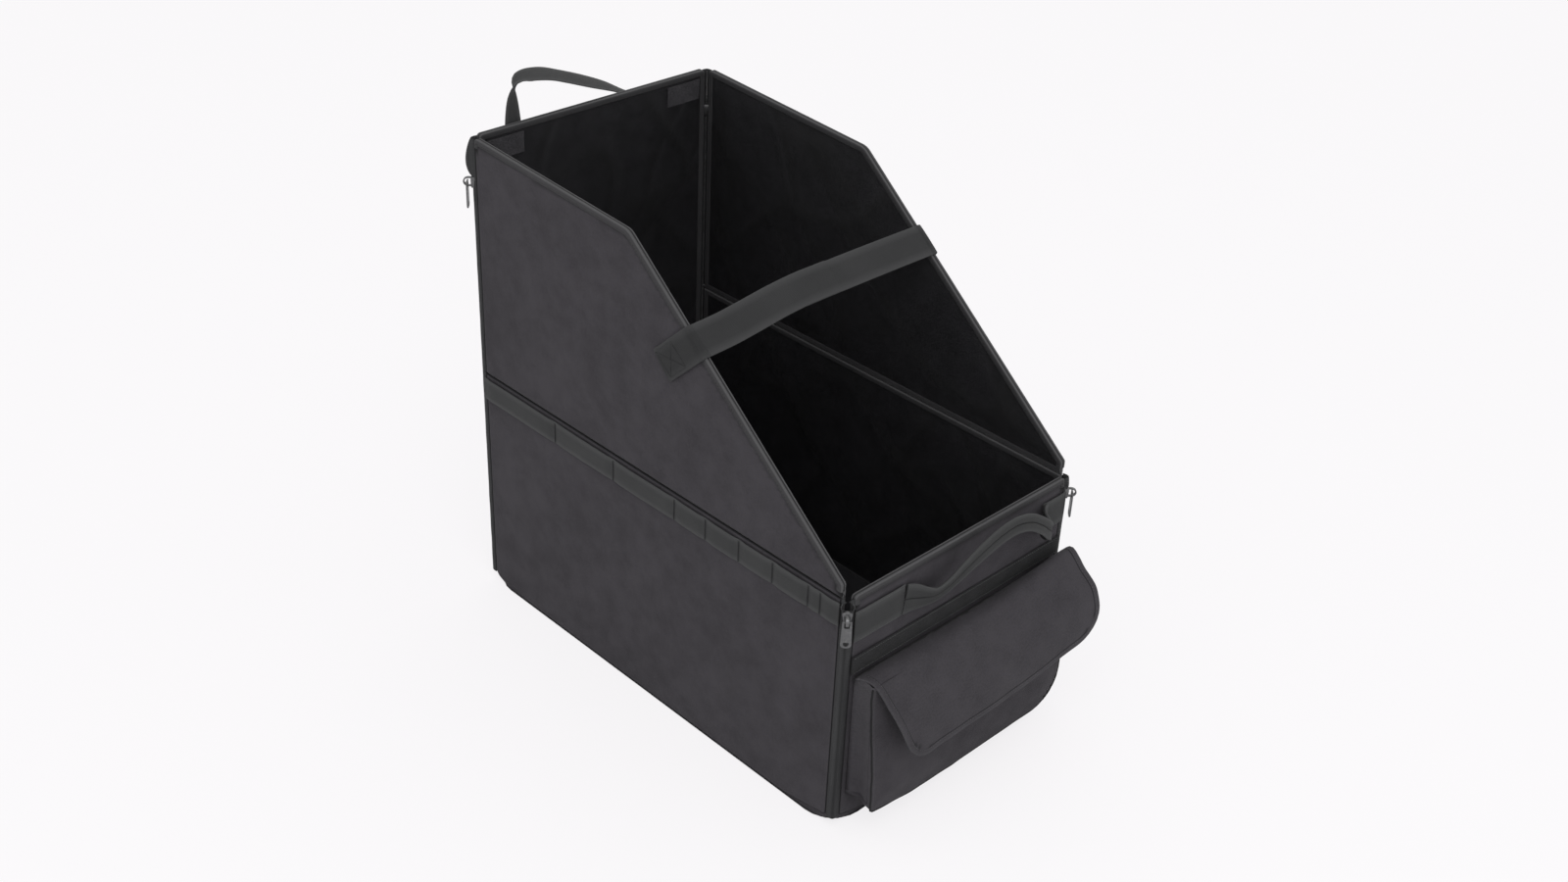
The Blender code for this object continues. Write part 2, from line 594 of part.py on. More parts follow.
def slider(side, end):
    """A slider outside the tape, with a crown that its puller hangs from.

    Both are drawn with +Y out of the corner and +X along the outside of it.
    """
    sign_x, sign_y = SIDES[side], ENDS[end]
    outward = Vector((sign_x, sign_y, 0)).normalized()
    corner = Vector((sign_x * (HALF_WIDTH - ZIP_MIDDLE), sign_y * (HALF_LENGTH - ZIP_MIDDLE), 0))
    height = Vector((0, 0, SLIDER_HEIGHTS[end]))
    turn = math.atan2(outward.y, outward.x) - math.radians(90)
    name = f"zip_{end}_{side}"
    place = corner + height
    joint(f"{name}_slider", place, f"{end}_wall")

    back = TAPE / 2 + GAP
    shape = bmesh.new()
    bmesh.ops.create_cube(shape, size=1)
    bmesh.ops.scale(shape, vec=(SLIDER_WIDTH, SLIDER_THICK, SLIDER_HEIGHT), verts=shape.verts)
    bmesh.ops.translate(shape, vec=(0, back + SLIDER_THICK / 2, 0), verts=shape.verts)
    bmesh.ops.bevel(
        shape,
        geom=shape.edges[:],
        offset=SLIDER_EDGE,
        segments=2,
        profile=0.5,
        affect="EDGES",
    )
    mesh = bpy.data.meshes.new(f"{name}_slider")
    shape.to_mesh(mesh)
    shape.free()
    body = bpy.data.objects.new(f"{name}_slider", mesh)
    body.location = place
    body.rotation_euler = Euler((0, 0, turn))

    foot = back + SLIDER_THICK - CROWN_SUNK
    arch = [Vector((foot, CROWN_OUTER))]
    for step in range(CROWN_STEPS + 1):
        angle = math.pi * (0.5 - step / CROWN_STEPS)
        bend = Vector((math.cos(angle), math.sin(angle)))
        arch.append(Vector((CROWN_OUT, 0)) + CROWN_OUTER * bend)
    arch += [Vector((foot, -CROWN_OUTER)), Vector((foot, -CROWN_INNER))]
    for step in range(CROWN_STEPS + 1):
        angle = -math.pi * (0.5 - step / CROWN_STEPS)
        bend = Vector((math.cos(angle), math.sin(angle)))
        arch.append(Vector((CROWN_OUT, 0)) + CROWN_INNER * bend)
    arch.append(Vector((foot, CROWN_INNER)))
    crown_turn = Euler((math.radians(90), 0, turn + math.radians(90)))
    crown = flat(f"{name}_crown", [arch], crown_turn, place, CROWN_WIDTH)
    combine(body, meshed(crown), "UNION")
    finish(body, f"{name}_slider", ZIP_METAL)

    axis = place + outward * CROWN_OUT
    joint(f"{name}_puller", axis, f"{name}_slider")
    half = PULLER_WIDTH / 2
    plate = box_outline(-half, half, BAR / 2 - PULLER_LENGTH, BAR / 2, half, BAR / 2)
    hole_half = half - BAR
    hole_length = CROWN_OUTER + BAR
    top_hole = box_outline(-hole_half, hole_half, -BAR / 2 - hole_length, -BAR / 2)
    low = BAR * 1.5 - PULLER_LENGTH
    end_round = hole_half - BAR / 8
    end_hole = box_outline(-hole_half, hole_half, low, low + hole_length, end_round, BAR / 4)
    holes = [outline(top_hole), outline(end_hole)]
    plate_turn = Euler((math.radians(90), 0, turn))
    piece = flat(f"{name}_puller", [outline(plate), *holes], plate_turn, axis, PULLER_THICK)
    finish(piece, f"{name}_puller", ZIP_METAL)


base()
for one_end in ENDS:
    end_wall(one_end)
for one_side in SIDES:
    side_wall(one_side)
    strap_half(one_side)
front_webbing()
front_handle()
pocket()
pocket_flap()
rear_details()
zips()
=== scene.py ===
# %% [markdown]
# # A folding bike storage cover
#
# The real object is a tall open box of dark cloth. Each wall is a stiff board between an outer
# cloth and a lining, zips close the four corners, and the walls fold out flat. This lesson
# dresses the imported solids: the boards stay as they are, and every soft solid is replaced by
# a piece that looks sewn. We start with the frame, because every piece rides on its bodies.

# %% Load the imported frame
import math

import bmesh
import bpy
import numpy as np
from mathutils import Matrix, Vector, noise


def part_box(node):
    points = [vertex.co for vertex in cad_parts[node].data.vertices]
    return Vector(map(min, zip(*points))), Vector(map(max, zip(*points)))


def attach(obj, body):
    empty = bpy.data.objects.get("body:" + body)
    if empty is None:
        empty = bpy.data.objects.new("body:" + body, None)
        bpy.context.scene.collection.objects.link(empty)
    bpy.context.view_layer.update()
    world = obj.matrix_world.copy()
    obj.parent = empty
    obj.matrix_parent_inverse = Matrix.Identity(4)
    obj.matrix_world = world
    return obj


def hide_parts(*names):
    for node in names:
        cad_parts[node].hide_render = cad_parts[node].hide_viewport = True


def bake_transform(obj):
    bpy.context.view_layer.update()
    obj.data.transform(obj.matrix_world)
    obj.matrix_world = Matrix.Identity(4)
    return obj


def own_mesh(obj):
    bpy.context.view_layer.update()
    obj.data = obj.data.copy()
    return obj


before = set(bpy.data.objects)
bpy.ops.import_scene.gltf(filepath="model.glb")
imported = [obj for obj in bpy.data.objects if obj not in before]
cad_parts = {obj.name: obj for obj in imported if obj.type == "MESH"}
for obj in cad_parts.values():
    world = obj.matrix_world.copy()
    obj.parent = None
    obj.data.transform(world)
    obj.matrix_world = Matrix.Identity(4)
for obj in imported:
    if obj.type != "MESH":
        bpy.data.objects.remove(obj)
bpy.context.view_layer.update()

# %% [markdown]
# The camera looks at the cover from the left front and from above. Its place, its turn and its
# lens were worked out from the straight edges of the box, so a piece that is placed well in
# space also falls on the right part of the picture.

# %% The camera
camera_data = bpy.data.cameras.new("view_from_left_front")
camera_data.sensor_width = 36
camera_data.lens = 41.344
camera = bpy.data.objects.new("view_from_left_front", camera_data)
camera.location = (-1.22888, -1.23086, 1.34966)
camera.rotation_euler = [math.radians(turn) for turn in (58.2079, -2.4172, -44.1803)]
bpy.context.scene.collection.objects.link(camera)
bpy.context.scene.camera = camera

# %% [markdown]
# Materials are written as sums. A small class holds one socket of a node tree and knows what
# to do when Python adds or multiplies it, so that `1 - ridge * 0.5` makes its own Math nodes.
# Any other node comes from its one method `node`.

# %% A socket that takes part in sums
class Signal:
    """One socket of a material's node tree."""

    def __init__(self, tree, socket=None):
        self.tree = tree
        self.socket = socket

    def node(self, kind, sockets=(), out=0, stops=(), **settings):
        """Adds a node, sets it up, feeds its sockets and gives back one of its outputs."""
        made = self.tree.nodes.new(f"ShaderNode{kind}")
        for name, value in settings.items():
            setattr(made, name, value)
        for stop, (place, colour) in zip(range(len(stops)), stops):
            if stop >= len(made.color_ramp.elements):
                made.color_ramp.elements.new(place)
            made.color_ramp.elements[stop].position = place
            made.color_ramp.elements[stop].color = (*colour, 1)
        for key, value in dict(sockets).items():
            if isinstance(value, Signal):
                self.tree.links.new(value.socket, made.inputs[key])
            else:
                made.inputs[key].default_value = value
        return Signal(self.tree, made.outputs[out] if len(made.outputs) else None)

    def maths(self, operation, *values):
        return self.node("Math", dict(enumerate(values)), operation=operation)

    def __add__(self, other):
        return self.maths("ADD", self, other)

    def __sub__(self, other):
        return self.maths("SUBTRACT", self, other)

    def __rsub__(self, other):
        return self.maths("SUBTRACT", other, self)

    def __mul__(self, other):
        return self.maths("MULTIPLY", self, other)

    def __abs__(self):
        return self.maths("ABSOLUTE", self)

    __radd__ = __add__
    __rmul__ = __mul__

    def mark(self, name):
        """What a piece's own points say under a name, from 0 to 1."""
        return self.node("Attribute", out=2, attribute_name=name, attribute_type="GEOMETRY")

    def sine(self):
        return self.maths("SINE", self)

    def fade(self, low, high, start=0.0, end=1.0):
        """Runs smoothly from start to end while this value goes from low to high."""
        sockets = {0: self, 1: low, 2: high, 3: start, 4: end}
        return self.node("MapRange", sockets, interpolation_type="SMOOTHSTEP")

    def between(self, first, second):
        """The first colour where this value is 0, and the second where it is 1."""
        ends = [(*ends, 1) if isinstance(ends, tuple) else ends for ends in (first, second)]
        sockets = {0: self, 6: ends[0], 7: ends[1]}
        return self.node("Mix", sockets, out=2, data_type="RGBA")


# %% [markdown]
# Every finish starts from the same few things: a place to read the pattern from, some uneven
# noise, and the shader at the end. Cloth reads the piece's own UV map, which is written in
# metres along its threads, so one weave has the same size on a wall, a flap or a handle.

# %% Places, noise and the shader
def new_finish(name):
    """A new material with an empty node tree, as a signal to build on."""
    finish = bpy.data.materials.new(name)
    finish.use_nodes = True
    finish.node_tree.nodes.clear()
    return finish, Signal(finish.node_tree)


def threads(start):
    """How far along (u) and across (v) its threads a point of cloth lies, in metres."""
    lengths = start.node("UVMap", uv_map="threads")
    split = start.node("SeparateXYZ", {0: lengths})
    across = Signal(start.tree, split.socket.node.outputs[1])
    return lengths, split, across


def patches(start, place, scale, detail=2.0, roughness=0.5):
    """Soft uneven noise from 0 to 1. Scale is in spots per metre."""
    sockets = {"Vector": place, "Scale": scale, "Detail": detail, "Roughness": roughness}
    return start.node("TexNoise", sockets)


def close(start, colour, roughness, bumps, metallic=0.0, sheen=0.0, coat=0.0):
    """The shader and the output. Bumps is a list of heights and of their sizes in metres."""
    normal = None
    for height, size in bumps:
        sockets = {"Strength": 1.0, "Distance": size, "Height": height}
        if normal:
            sockets["Normal"] = normal
        normal = start.node("Bump", sockets)
    sockets = {"Base Color": colour, "Roughness": roughness, "Metallic": metallic}
    sockets.update({"Sheen Weight": sheen, "Sheen Roughness": 0.45, "Coat Weight": coat})
    sockets.update({"Normal": normal, "Specular IOR Level": 0.22})
    shader = start.node("BsdfPrincipled", sockets)
    start.node("OutputMaterial", {"Surface": shader})


# %% [markdown]
# The outer cloth is a closely woven polyester. Its threads go over and under each other, which
# two sine waves give: one for the threads along the piece and one for those across, each
# lifted where it lies on top. Slubs, which are slightly thicker threads, and a little fading
# keep it from looking printed. The pieces mark their own worn edges, which are paler, and
# the places along seams, folds and grooves where painted shade makes the cloth nearly black.
# On linings the worn mark also carries a painted highlight beside each fold.

# %% The outer cloth and the lining
# Painted shade: the near-black colour that seams, folds and grooves are painted with.
PAINTED_SHADE = (0.0045, 0.0043, 0.0050)


def woven(along, across, pitch):
    """The height of a plain weave with threads one pitch apart."""
    over = (along * (math.pi / pitch)).sine()
    under = (across * (math.pi / pitch)).sine()
    lengthways = abs(over) + over.maths("SIGN", over) * under * 0.5
    crossways = abs(under) - under.maths("SIGN", under) * over * 0.5
    return lengthways.maths("MAXIMUM", lengthways, crossways)


def slubs(start, lengths, fine, coarse):
    """Noise drawn out along the threads."""
    drawn = start.node("Mapping", {"Vector": lengths, "Scale": (fine, coarse, 1)})
    return patches(start, drawn, 1.0, 3.0)


def cloth_finish(name, dark, pale, worn, pitch, gloss, sheen, crease):
    """A woven cloth between two near colours, with its worn colour at rubbed edges and as a painted
    highlight on lining folds, and painted shade at its crease marks.
    """
    finish, start = new_finish(name)
    lengths, along, across = threads(start)
    weave = woven(along, across, pitch)
    one_way = slubs(start, lengths, 90, 1900)
    other_way = slubs(start, lengths, 1900, 90)
    faded = patches(start, lengths, 9, 3)
    clouds = patches(start, lengths, 38, 2)
    mottled = patches(start, lengths, 420, 3, 0.65)
    mixed = one_way * 0.25 + other_way * 0.25 + faded * 0.4 + clouds * 0.4 + mottled * 0.5
    colour = (mixed + weave * 0.08).fade(0.76, 1.16).between(dark, pale)
    rubbed = start.mark("rubbed")
    # The rubbed mark gives the worn colour at rubbed edges, and on linings also a painted highlight
    # beside folds.
    colour = (rubbed * mottled.fade(0.35, 0.65, 0.4, 1.0)).between(colour, worn)
    # Painted shade: where a piece's crease mark is 1, the cloth is painted nearly black.
    colour = (start.mark("crease") * mottled.fade(0.2, 0.6, 0.75, 1.0)).between(colour, PAINTED_SHADE)
    roughness = mottled.fade(0.2, 0.8, gloss, gloss + 0.12)
    bumps = [(weave, 0.00012), (one_way + other_way, 0.0001), (mottled, crease), (clouds, 0.0011)]
    close(start, colour, roughness, bumps, sheen=sheen)
    return finish


OUTER_CLOTH = cloth_finish(
    "outer_cloth",
    (0.0305, 0.0274, 0.0322),
    (0.0505, 0.0462, 0.0532),
    (0.0680, 0.0650, 0.0710),
    0.00062, 0.78, 0.04, 0.00040,
)
LINING_CLOTH = cloth_finish(
    "lining_cloth",
    (0.0034, 0.0032, 0.0042),
    (0.0128, 0.0121, 0.0146),
    (0.0230, 0.0222, 0.0252),
    0.00038, 0.46, 0.03, 0.0003,
)
print("cloths:", OUTER_CLOTH.name, LINING_CLOTH.name)

# %% [markdown]
# Tape and webbing are woven narrow and thick, so their ribs show. Binding tape has ribs across
# it, webbing has rows along it whose threads lean to alternate sides, and zip tape has
# very fine rows. The ribs are the same sum with other sizes.

# %% Tapes and webbing
def ribbed_finish(name, dark, pale, worn, rib, row, lean, gloss, size):
    """A woven tape: rows along it row metres apart, crossed by ribs that lean row by row."""
    finish, start = new_finish(name)
    lengths, along, across = threads(start)
    rows = (across * (math.pi / row)).sine()
    turned = along + rows.maths("SIGN", rows) * lean * abs(rows)
    ribs = abs((turned * (math.pi / rib)).sine())
    height = abs(rows) * 0.6 + ribs * 0.6
    fuzz = patches(start, lengths, 1500, 2)
    faded = patches(start, lengths, 14, 3)
    mixed = height * 0.3 + fuzz * 0.35 + faded * 0.5
    colour = mixed.fade(0.25, 1.0).between(dark, pale)
    colour = (start.mark("rubbed") * fuzz.fade(0.3, 0.7, 0.4, 1.0)).between(colour, worn)
    # Painted shade: where a piece's crease mark is 1, the tape is painted nearly black.
    colour = (start.mark("crease") * fuzz.fade(0.2, 0.6, 0.75, 1.0)).between(colour, PAINTED_SHADE)
    roughness = fuzz.fade(0.2, 0.8, gloss, gloss + 0.12)
    close(start, colour, roughness, [(height, size), (fuzz, 0.00008)], sheen=0.03)
    return finish


BINDING_TAPE = ribbed_finish(
    "binding_tape", (0.026, 0.0253, 0.0272), (0.049, 0.0480, 0.0505), (0.108, 0.107, 0.110),
    0.00085, 0.0100, 0.0, 0.68, 0.00018,
)
WEBBING = ribbed_finish(
    "webbing", (0.022, 0.0225, 0.0230), (0.046, 0.0465, 0.0475), (0.066, 0.067, 0.068),
    0.0016, 0.0017, 0.0007, 0.66, 0.00030,
)
ZIP_TAPE = ribbed_finish(
    "zip_tape", (0.022, 0.0222, 0.0235), (0.043, 0.0432, 0.0450), (0.085, 0.086, 0.088),
    0.0006, 0.0009, 0.0002, 0.62, 0.00014,
)
STRAP_WEBBING = ribbed_finish(
    "strap_webbing", (0.015, 0.0152, 0.0160), (0.036, 0.0362, 0.0375), (0.056, 0.0565, 0.058),
    0.0011, 0.0013, 0.0005, 0.64, 0.00022,
)


def thread_finish(name, dark, pale, gloss):
    """Sewing thread or nylon: short fibres and some uneven dye."""
    finish, start = new_finish(name)
    place = start.node("TexCoord", out=3)
    fibres = patches(start, place, 2400, 2, 0.6)
    dyed = patches(start, place, 160, 2)
    colour = (fibres * 0.5 + dyed * 0.5).fade(0.3, 0.75).between(dark, pale)
    close(start, colour, fibres.fade(0.2, 0.8, gloss, gloss + 0.15), [(fibres, 0.00006)])
    return finish


THREAD = thread_finish("sewing_thread", (0.060, 0.060, 0.063), (0.125, 0.125, 0.130), 0.50)
DARK_THREAD = thread_finish("dark_thread", (0.011, 0.011, 0.012), (0.030, 0.030, 0.032), 0.50)
ZIP_THREAD = thread_finish("zip_thread", (0.022, 0.022, 0.024), (0.042, 0.042, 0.044), 0.50)
ZIP_NYLON = thread_finish("zip_nylon", (0.040, 0.040, 0.042), (0.115, 0.115, 0.117), 0.40)
print("tapes:", BINDING_TAPE.name, WEBBING.name, STRAP_WEBBING.name, ZIP_TAPE.name)

# %% [markdown]
# The fastening strips are a felted pile of tiny loops, which is noise at two sizes with a
# strong bump. The boards are pressed card, seen only at cut edges. The zip's metal is painted
# dark, with the paint rubbed thin where noise says so.

# %% Pile, card and metal
def pile_finish(name, dark, pale):
    finish, start = new_finish(name)
    lengths, along, across = threads(start)
    loops = start.node(
        "TexVoronoi", {"Vector": lengths, "Scale": 1100.0}, feature="SMOOTH_F1"
    )
    tufts = patches(start, lengths, 420, 4, 0.7)
    matted = patches(start, lengths, 45, 3)
    mixed = loops * 0.4 + tufts * 0.6 + matted * 0.4
    colour = mixed.fade(0.35, 1.0).between(dark, pale)
    roughness = tufts.fade(0.2, 0.8, 0.85, 0.98)
    close(start, colour, roughness, [(loops, 0.0004), (tufts, 0.0007)], sheen=0.05)
    return finish


def card_finish():
    finish, start = new_finish("stiff_board")
    place = start.node("TexCoord", out=3)
    fibres = patches(start, place, 700, 4, 0.65)
    clouds = patches(start, place, 30, 3)
    mixed = fibres * 0.6 + clouds * 0.5
    colour = mixed.fade(0.3, 0.9).between((0.020, 0.019, 0.018), (0.048, 0.045, 0.042))
    roughness = fibres.fade(0.2, 0.8, 0.75, 0.92)
    close(start, colour, roughness, [(fibres, 0.00012)])
    return finish


def metal_finish():
    finish, start = new_finish("zip_metal")
    place = start.node("TexCoord", out=3)
    grain = patches(start, place, 2600, 3, 0.6)
    rubbed = patches(start, place, 240, 4, 0.7)
    worn = (rubbed + grain * 0.35).fade(0.60, 1.05)
    colour = worn.between((0.125, 0.125, 0.129), (0.215, 0.213, 0.210))
    roughness = grain.fade(0.2, 0.8, 0.26, 0.40) - worn * 0.06
    close(start, colour, roughness, [(grain, 0.00003)], metallic=worn.fade(0, 1, 0.75, 1.0))
    return finish


FASTENER_PILE = pile_finish("fastener_strip", (0.006, 0.006, 0.0065), (0.030, 0.030, 0.0315))
FASTENER_PATCH = pile_finish("fastener_patch", (0.018, 0.0172, 0.0195), (0.064, 0.061, 0.067))
CARD = card_finish()
ZIP_METAL = metal_finish()
for name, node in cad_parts.items():
    if name.endswith("_board"):
        node.data.materials.clear()
        node.data.materials.append(CARD)
print("boards in card:", sum(name.endswith("_board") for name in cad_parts))

# %% [markdown]
# Soft even light shows cloth best. A white sky lights the object from all sides at about the
# level at which a colour renders as it is written, a large lamp above the camera's left adds a
# little shape, and a pale floor catches the shadow.

# %% Light and floor
def studio():
    world = bpy.data.worlds.new("studio")
    bpy.context.scene.world = world
    world.use_nodes = True
    world.node_tree.nodes.clear()
    start = Signal(world.node_tree)
    seen = start.node("LightPath", out=0)
    mirrored = start.node("LightPath", out=3)
    shown = seen.maths("MAXIMUM", seen, mirrored)
    strength = shown.fade(0, 1, 0.80, 1.0)
    light = start.node("Background", {"Color": (1, 1, 1, 1), "Strength": strength})
    start.node("OutputWorld", {"Surface": light})

    lamp_data = bpy.data.lights.new("soft_lamp", "AREA")
    lamp_data.shape = "DISK"
    lamp_data.size = 1.6
    lamp_data.energy = 16
    lamp = bpy.data.objects.new("soft_lamp", lamp_data)
    lamp.location = (-1.1, -1.3, 2.3)
    aim = Vector((0, 0, 0.25)) - lamp.location
    lamp.rotation_euler = aim.to_track_quat("-Z", "Y").to_euler()
    bpy.context.scene.collection.objects.link(lamp)


def pale_floor():
    shape = bmesh.new()
    bmesh.ops.create_grid(shape, x_segments=8, y_segments=8, size=6)
    mesh = bpy.data.meshes.new("floor")
    shape.to_mesh(mesh)
    shape.free()
    floor = bpy.data.objects.new("floor", mesh)
    floor.location.z = -0.0015
    bpy.context.scene.collection.objects.link(floor)
    finish, start = new_finish("pale_floor")
    place = start.node("TexCoord", out=3)
    faint = patches(start, place, 3, 2)
    colour = faint.between((0.90, 0.895, 0.905), (0.92, 0.915, 0.925))
    paint = start.node("BsdfDiffuse", {"Color": colour})
    white = start.node("Emission", {"Color": (1, 0.985, 1, 1), "Strength": 1.0})
    seen = start.node("LightPath", out=0)
    share = seen.fade(0, 1, 0.0, 0.80)
    mixed = start.node("MixShader", {0: share, 1: paint, 2: white})
    start.node("OutputMaterial", {"Surface": mixed})
    mesh.materials.append(finish)
    return floor


studio()
floor = pale_floor()
scene = bpy.context.scene
scene.view_settings.view_transform = "Standard"
print("floor at", round(floor.location.z * 1000, 1), "mm")

# %% [markdown]
# A few helpers carry the whole piece. The first turns a bmesh into a finished object in its
# place, on its body and in its finish. Thin cloth gets its thickness from a Solidify
# modifier, which grows it away from the side that shows.

# %% Finish a piece
def finished(shape, name, body, cloth, stands_for=(), thickness=0.0, sharp=50):
    """Makes the object of a bmesh, gives it its finish and lets it ride on its body."""
    mesh = bpy.data.meshes.new(name)
    shape.to_mesh(mesh)
    shape.free()
    mesh.polygons.foreach_set("use_smooth", [True] * len(mesh.polygons))
    mesh.set_sharp_from_angle(angle=math.radians(sharp))
    mesh.materials.append(cloth)
    piece = bpy.data.objects.new(name, mesh)
    bpy.context.scene.collection.objects.link(piece)
    if thickness:
        wall = piece.modifiers.new("thickness", "SOLIDIFY")
        wall.thickness = thickness
        wall.offset = -1
    if body:
        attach(piece, body)
    if stands_for:
        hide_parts(*stands_for)
    return piece


def everything(shape):
    return shape.verts[:] + shape.edges[:] + shape.faces[:]


# %% [markdown]
# Each wall is drawn flat, as its maker cuts it, and then stood up. A `Wall` knows its outline,
# the body it rides on and which way it faces, and turns a place on the pattern and a depth
# below its outer face into a place in space.

# %% The six walls and the base
INCHES_TO_KEEP = 6
ARC_STEPS = 6


class Wall:
    """A stiff panel: its pattern's two directions, the way it faces and its outline."""

    def __init__(self, name, body, along, up, outward, face, corners):
        self.name, self.body, self.face, self.corners = name, body, face, corners
        self.along, self.up, self.outward = Vector(along), Vector(up), Vector(outward)

    def place(self, a, b, depth):
        return self.along * a + self.up * b + self.outward * (self.face - depth)

    def mirrored(self):
        return self.along.cross(self.up).dot(self.outward) < 0


HALF_WIDTH, HALF_LENGTH = 0.175, 0.300
END_X, END_Y = 0.1645, 0.2895
FOLD_Z, FRONT_Z, REAR_Z = 0.298, 0.301, 0.590
FOOT_Z, FOOT_LIFT = 0.0013, 0.012
KINK = (0.032, 0.575)
NOSE_Z = 0.314


def wall_corners(half, high, run, top_round):
    """The outline of a lower wall, with a stop on each side where its top binding ends."""
    stop = high - 0.011
    return [
        (-half, FOOT_Z + FOOT_LIFT, 0.004),
        (-half + run, FOOT_Z, 0.150),
        (half - run, FOOT_Z, 0.150),
        (half, FOOT_Z + FOOT_LIFT, 0.004),
        (half, stop, 0),
        (half, high, top_round),
        (-half, high, top_round),
        (-half, stop, 0),
    ]


UPPER_CORNERS = [
    (-END_Y, FOLD_Z + 0.0003, 0.0003),
    (END_Y, FOLD_Z + 0.0003, 0.0003),
    (END_Y, REAR_Z - 0.011, 0),
    (END_Y, REAR_Z, 0.005),
    (*KINK, 0.020),
    (-END_Y, NOSE_Z, 0.005),
    (-END_Y, NOSE_Z - 0.009, 0),
]
TOP_RUNS = {"front": (4, 7), "rear": (4, 7), "upper": (2, 6)}
WALLS = {}
for name, sign, high in (("front", -1, FRONT_Z), ("rear", 1, REAR_Z)):
    corners = wall_corners(END_X, high, 0.045, 0.005)
    WALLS[name] = Wall(
        name, f"{name}_wall", (1, 0, 0), (0, 0, 1), (0, sign, 0), HALF_LENGTH, corners
    )
for side, sign in (("left", -1), ("right", 1)):
    lower = wall_corners(END_Y, FOLD_Z - 0.0003, 0.062, 0.0003)
    for level, corners in (("lower", lower), ("upper", UPPER_CORNERS)):
        name = f"side_{side}_{level}"
        WALLS[name] = Wall(
            name, name, (0, 1, 0), (0, 0, 1), (sign, 0, 0), HALF_WIDTH, corners
        )
print("walls:", ", ".join(WALLS))

# %% [markdown]
# An outline is a list of corners, each with its rounding. Moved inward it keeps the same
# number of points, so a ring of binding can be drawn through the same point at several
# distances from the edge.

# %% Outlines
def rounded(corners, inward=0.0):
    """For each corner, the points of its rounding, once the outline has moved inward."""
    groups = []
    for i, (x, y, rounding) in enumerate(corners):
        here = Vector((x, y))
        before = Vector(corners[i - 1][:2])
        after = Vector(corners[(i + 1) % len(corners)][:2])
        into = (here - before).normalized()
        away = (after - here).normalized()
        side_in = Vector((into.y, -into.x))
        side_out = Vector((away.y, -away.x))
        here = here - (side_in + side_out) * inward / (1 + side_in.dot(side_out))
        if rounding == 0:
            groups.append([here])
            continue
        radius = max(rounding - inward, 0.0)
        turn = into.angle(away)
        centre = here - into * radius * math.tan(turn / 2) - side_in * radius
        start = math.atan2(side_in.y, side_in.x)
        angles = [start + turn * step / ARC_STEPS for step in range(ARC_STEPS + 1)]
        groups.append([centre + radius * Vector((math.cos(a), math.sin(a))) for a in angles])
    return groups


def edge_line(corners, first, last, inward=0.0, spacing=0.010):
    """Points along the outline from one corner to another, or all round to the same one."""
    count = (last - first) % len(corners) + 1 if first != last else len(corners)
    order = [(first + i) % len(corners) for i in range(count)]
    moved, ruler = rounded(corners, inward), rounded(corners)
    line = [point for corner in order for point in moved[corner]]
    ruler = [point for corner in order for point in ruler[corner]]
    if first == last:
        line.append(line[0])
        ruler.append(ruler[0])
    points = [line[0]]
    for k in range(1, len(line)):
        parts = max(1, math.ceil((ruler[k] - ruler[k - 1]).length / spacing))
        points += [line[k - 1].lerp(line[k], part / parts) for part in range(1, parts + 1)]
    return points


def lengths_along(points):
    """The distance from the first point to each point of a line."""
    steps = [(b - a).length for a, b in zip(points, points[1:])]
    return [0.0] + list(np.cumsum(steps))


# %% [markdown]
# A sheet of cloth starts as an even grid. `bisect_plane` trims it along each edge of the
# outline, and cuts it again a little inside each edge, so that there are points where the
# cloth rolls over. Each point then remembers how far it is from the edge.

# %% Cut a sheet
def cut_sheet(corners, cell, offsets=(0.0006, 0.0012, 0.0022, 0.0040, 0.0070)):
    """A flat sheet in X and Y with that outline, and every point's distance to its edge."""
    edge = [point for group in rounded(corners) for point in group]
    low = [min(point[i] for point in edge) for i in (0, 1)]
    high = [max(point[i] for point in edge) for i in (0, 1)]
    size = (high[0] - low[0], high[1] - low[1])
    shape = bmesh.new()
    counts = [math.ceil(length / cell) for length in size]
    bmesh.ops.create_grid(shape, x_segments=counts[0], y_segments=counts[1], size=0.5)
    middle = ((low[0] + high[0]) / 2, (low[1] + high[1]) / 2, 0)
    bmesh.ops.scale(shape, vec=(*size, 1), verts=shape.verts)
    bmesh.ops.translate(shape, vec=middle, verts=shape.verts)
    for a, b in zip(edge, edge[1:] + edge[:1]):
        if (b - a).length < 0.00002:
            continue
        outward = Vector((b.y - a.y, a.x - b.x, 0)).normalized()
        bmesh.ops.bisect_plane(
            shape, geom=everything(shape), dist=0.00001,
            plane_co=a.to_3d(), plane_no=outward, clear_outer=True,
        )
        if (b - a).length < 0.015:
            continue
        for offset in offsets:
            bmesh.ops.bisect_plane(
                shape, geom=everything(shape), dist=0.00001,
                plane_co=a.to_3d() - outward * offset, plane_no=outward,
            )
    bmesh.ops.remove_doubles(shape, verts=shape.verts, dist=0.00005)
    return shape, distances([vertex.co.xy for vertex in shape.verts], edge)


def distances(points, edge, closed=True):
    """How far each point is from a line."""
    points = np.array([tuple(point) for point in points])
    ends = np.array([tuple(point) for point in edge])
    best = np.full(len(points), 9.0)
    following = np.roll(ends, -1, axis=0)
    for a, b in zip(ends[: None if closed else -1], following):
        step = b - a
        share = np.clip((points - a) @ step / max(step @ step, 1e-12), 0, 1)
        best = np.minimum(best, np.linalg.norm(points - a - share[:, None] * step, axis=1))
    return best


def waves(a, b, seed, scale=1.0, turn=0.0, stretch=1.0):
    """Smooth noise from -1 to 1 in spots per metre, drawn out along one direction."""
    x = a * math.cos(turn) + b * math.sin(turn)
    y = b * math.cos(turn) - a * math.sin(turn)
    return noise.noise(Vector((x * scale, y * scale / stretch, seed)))


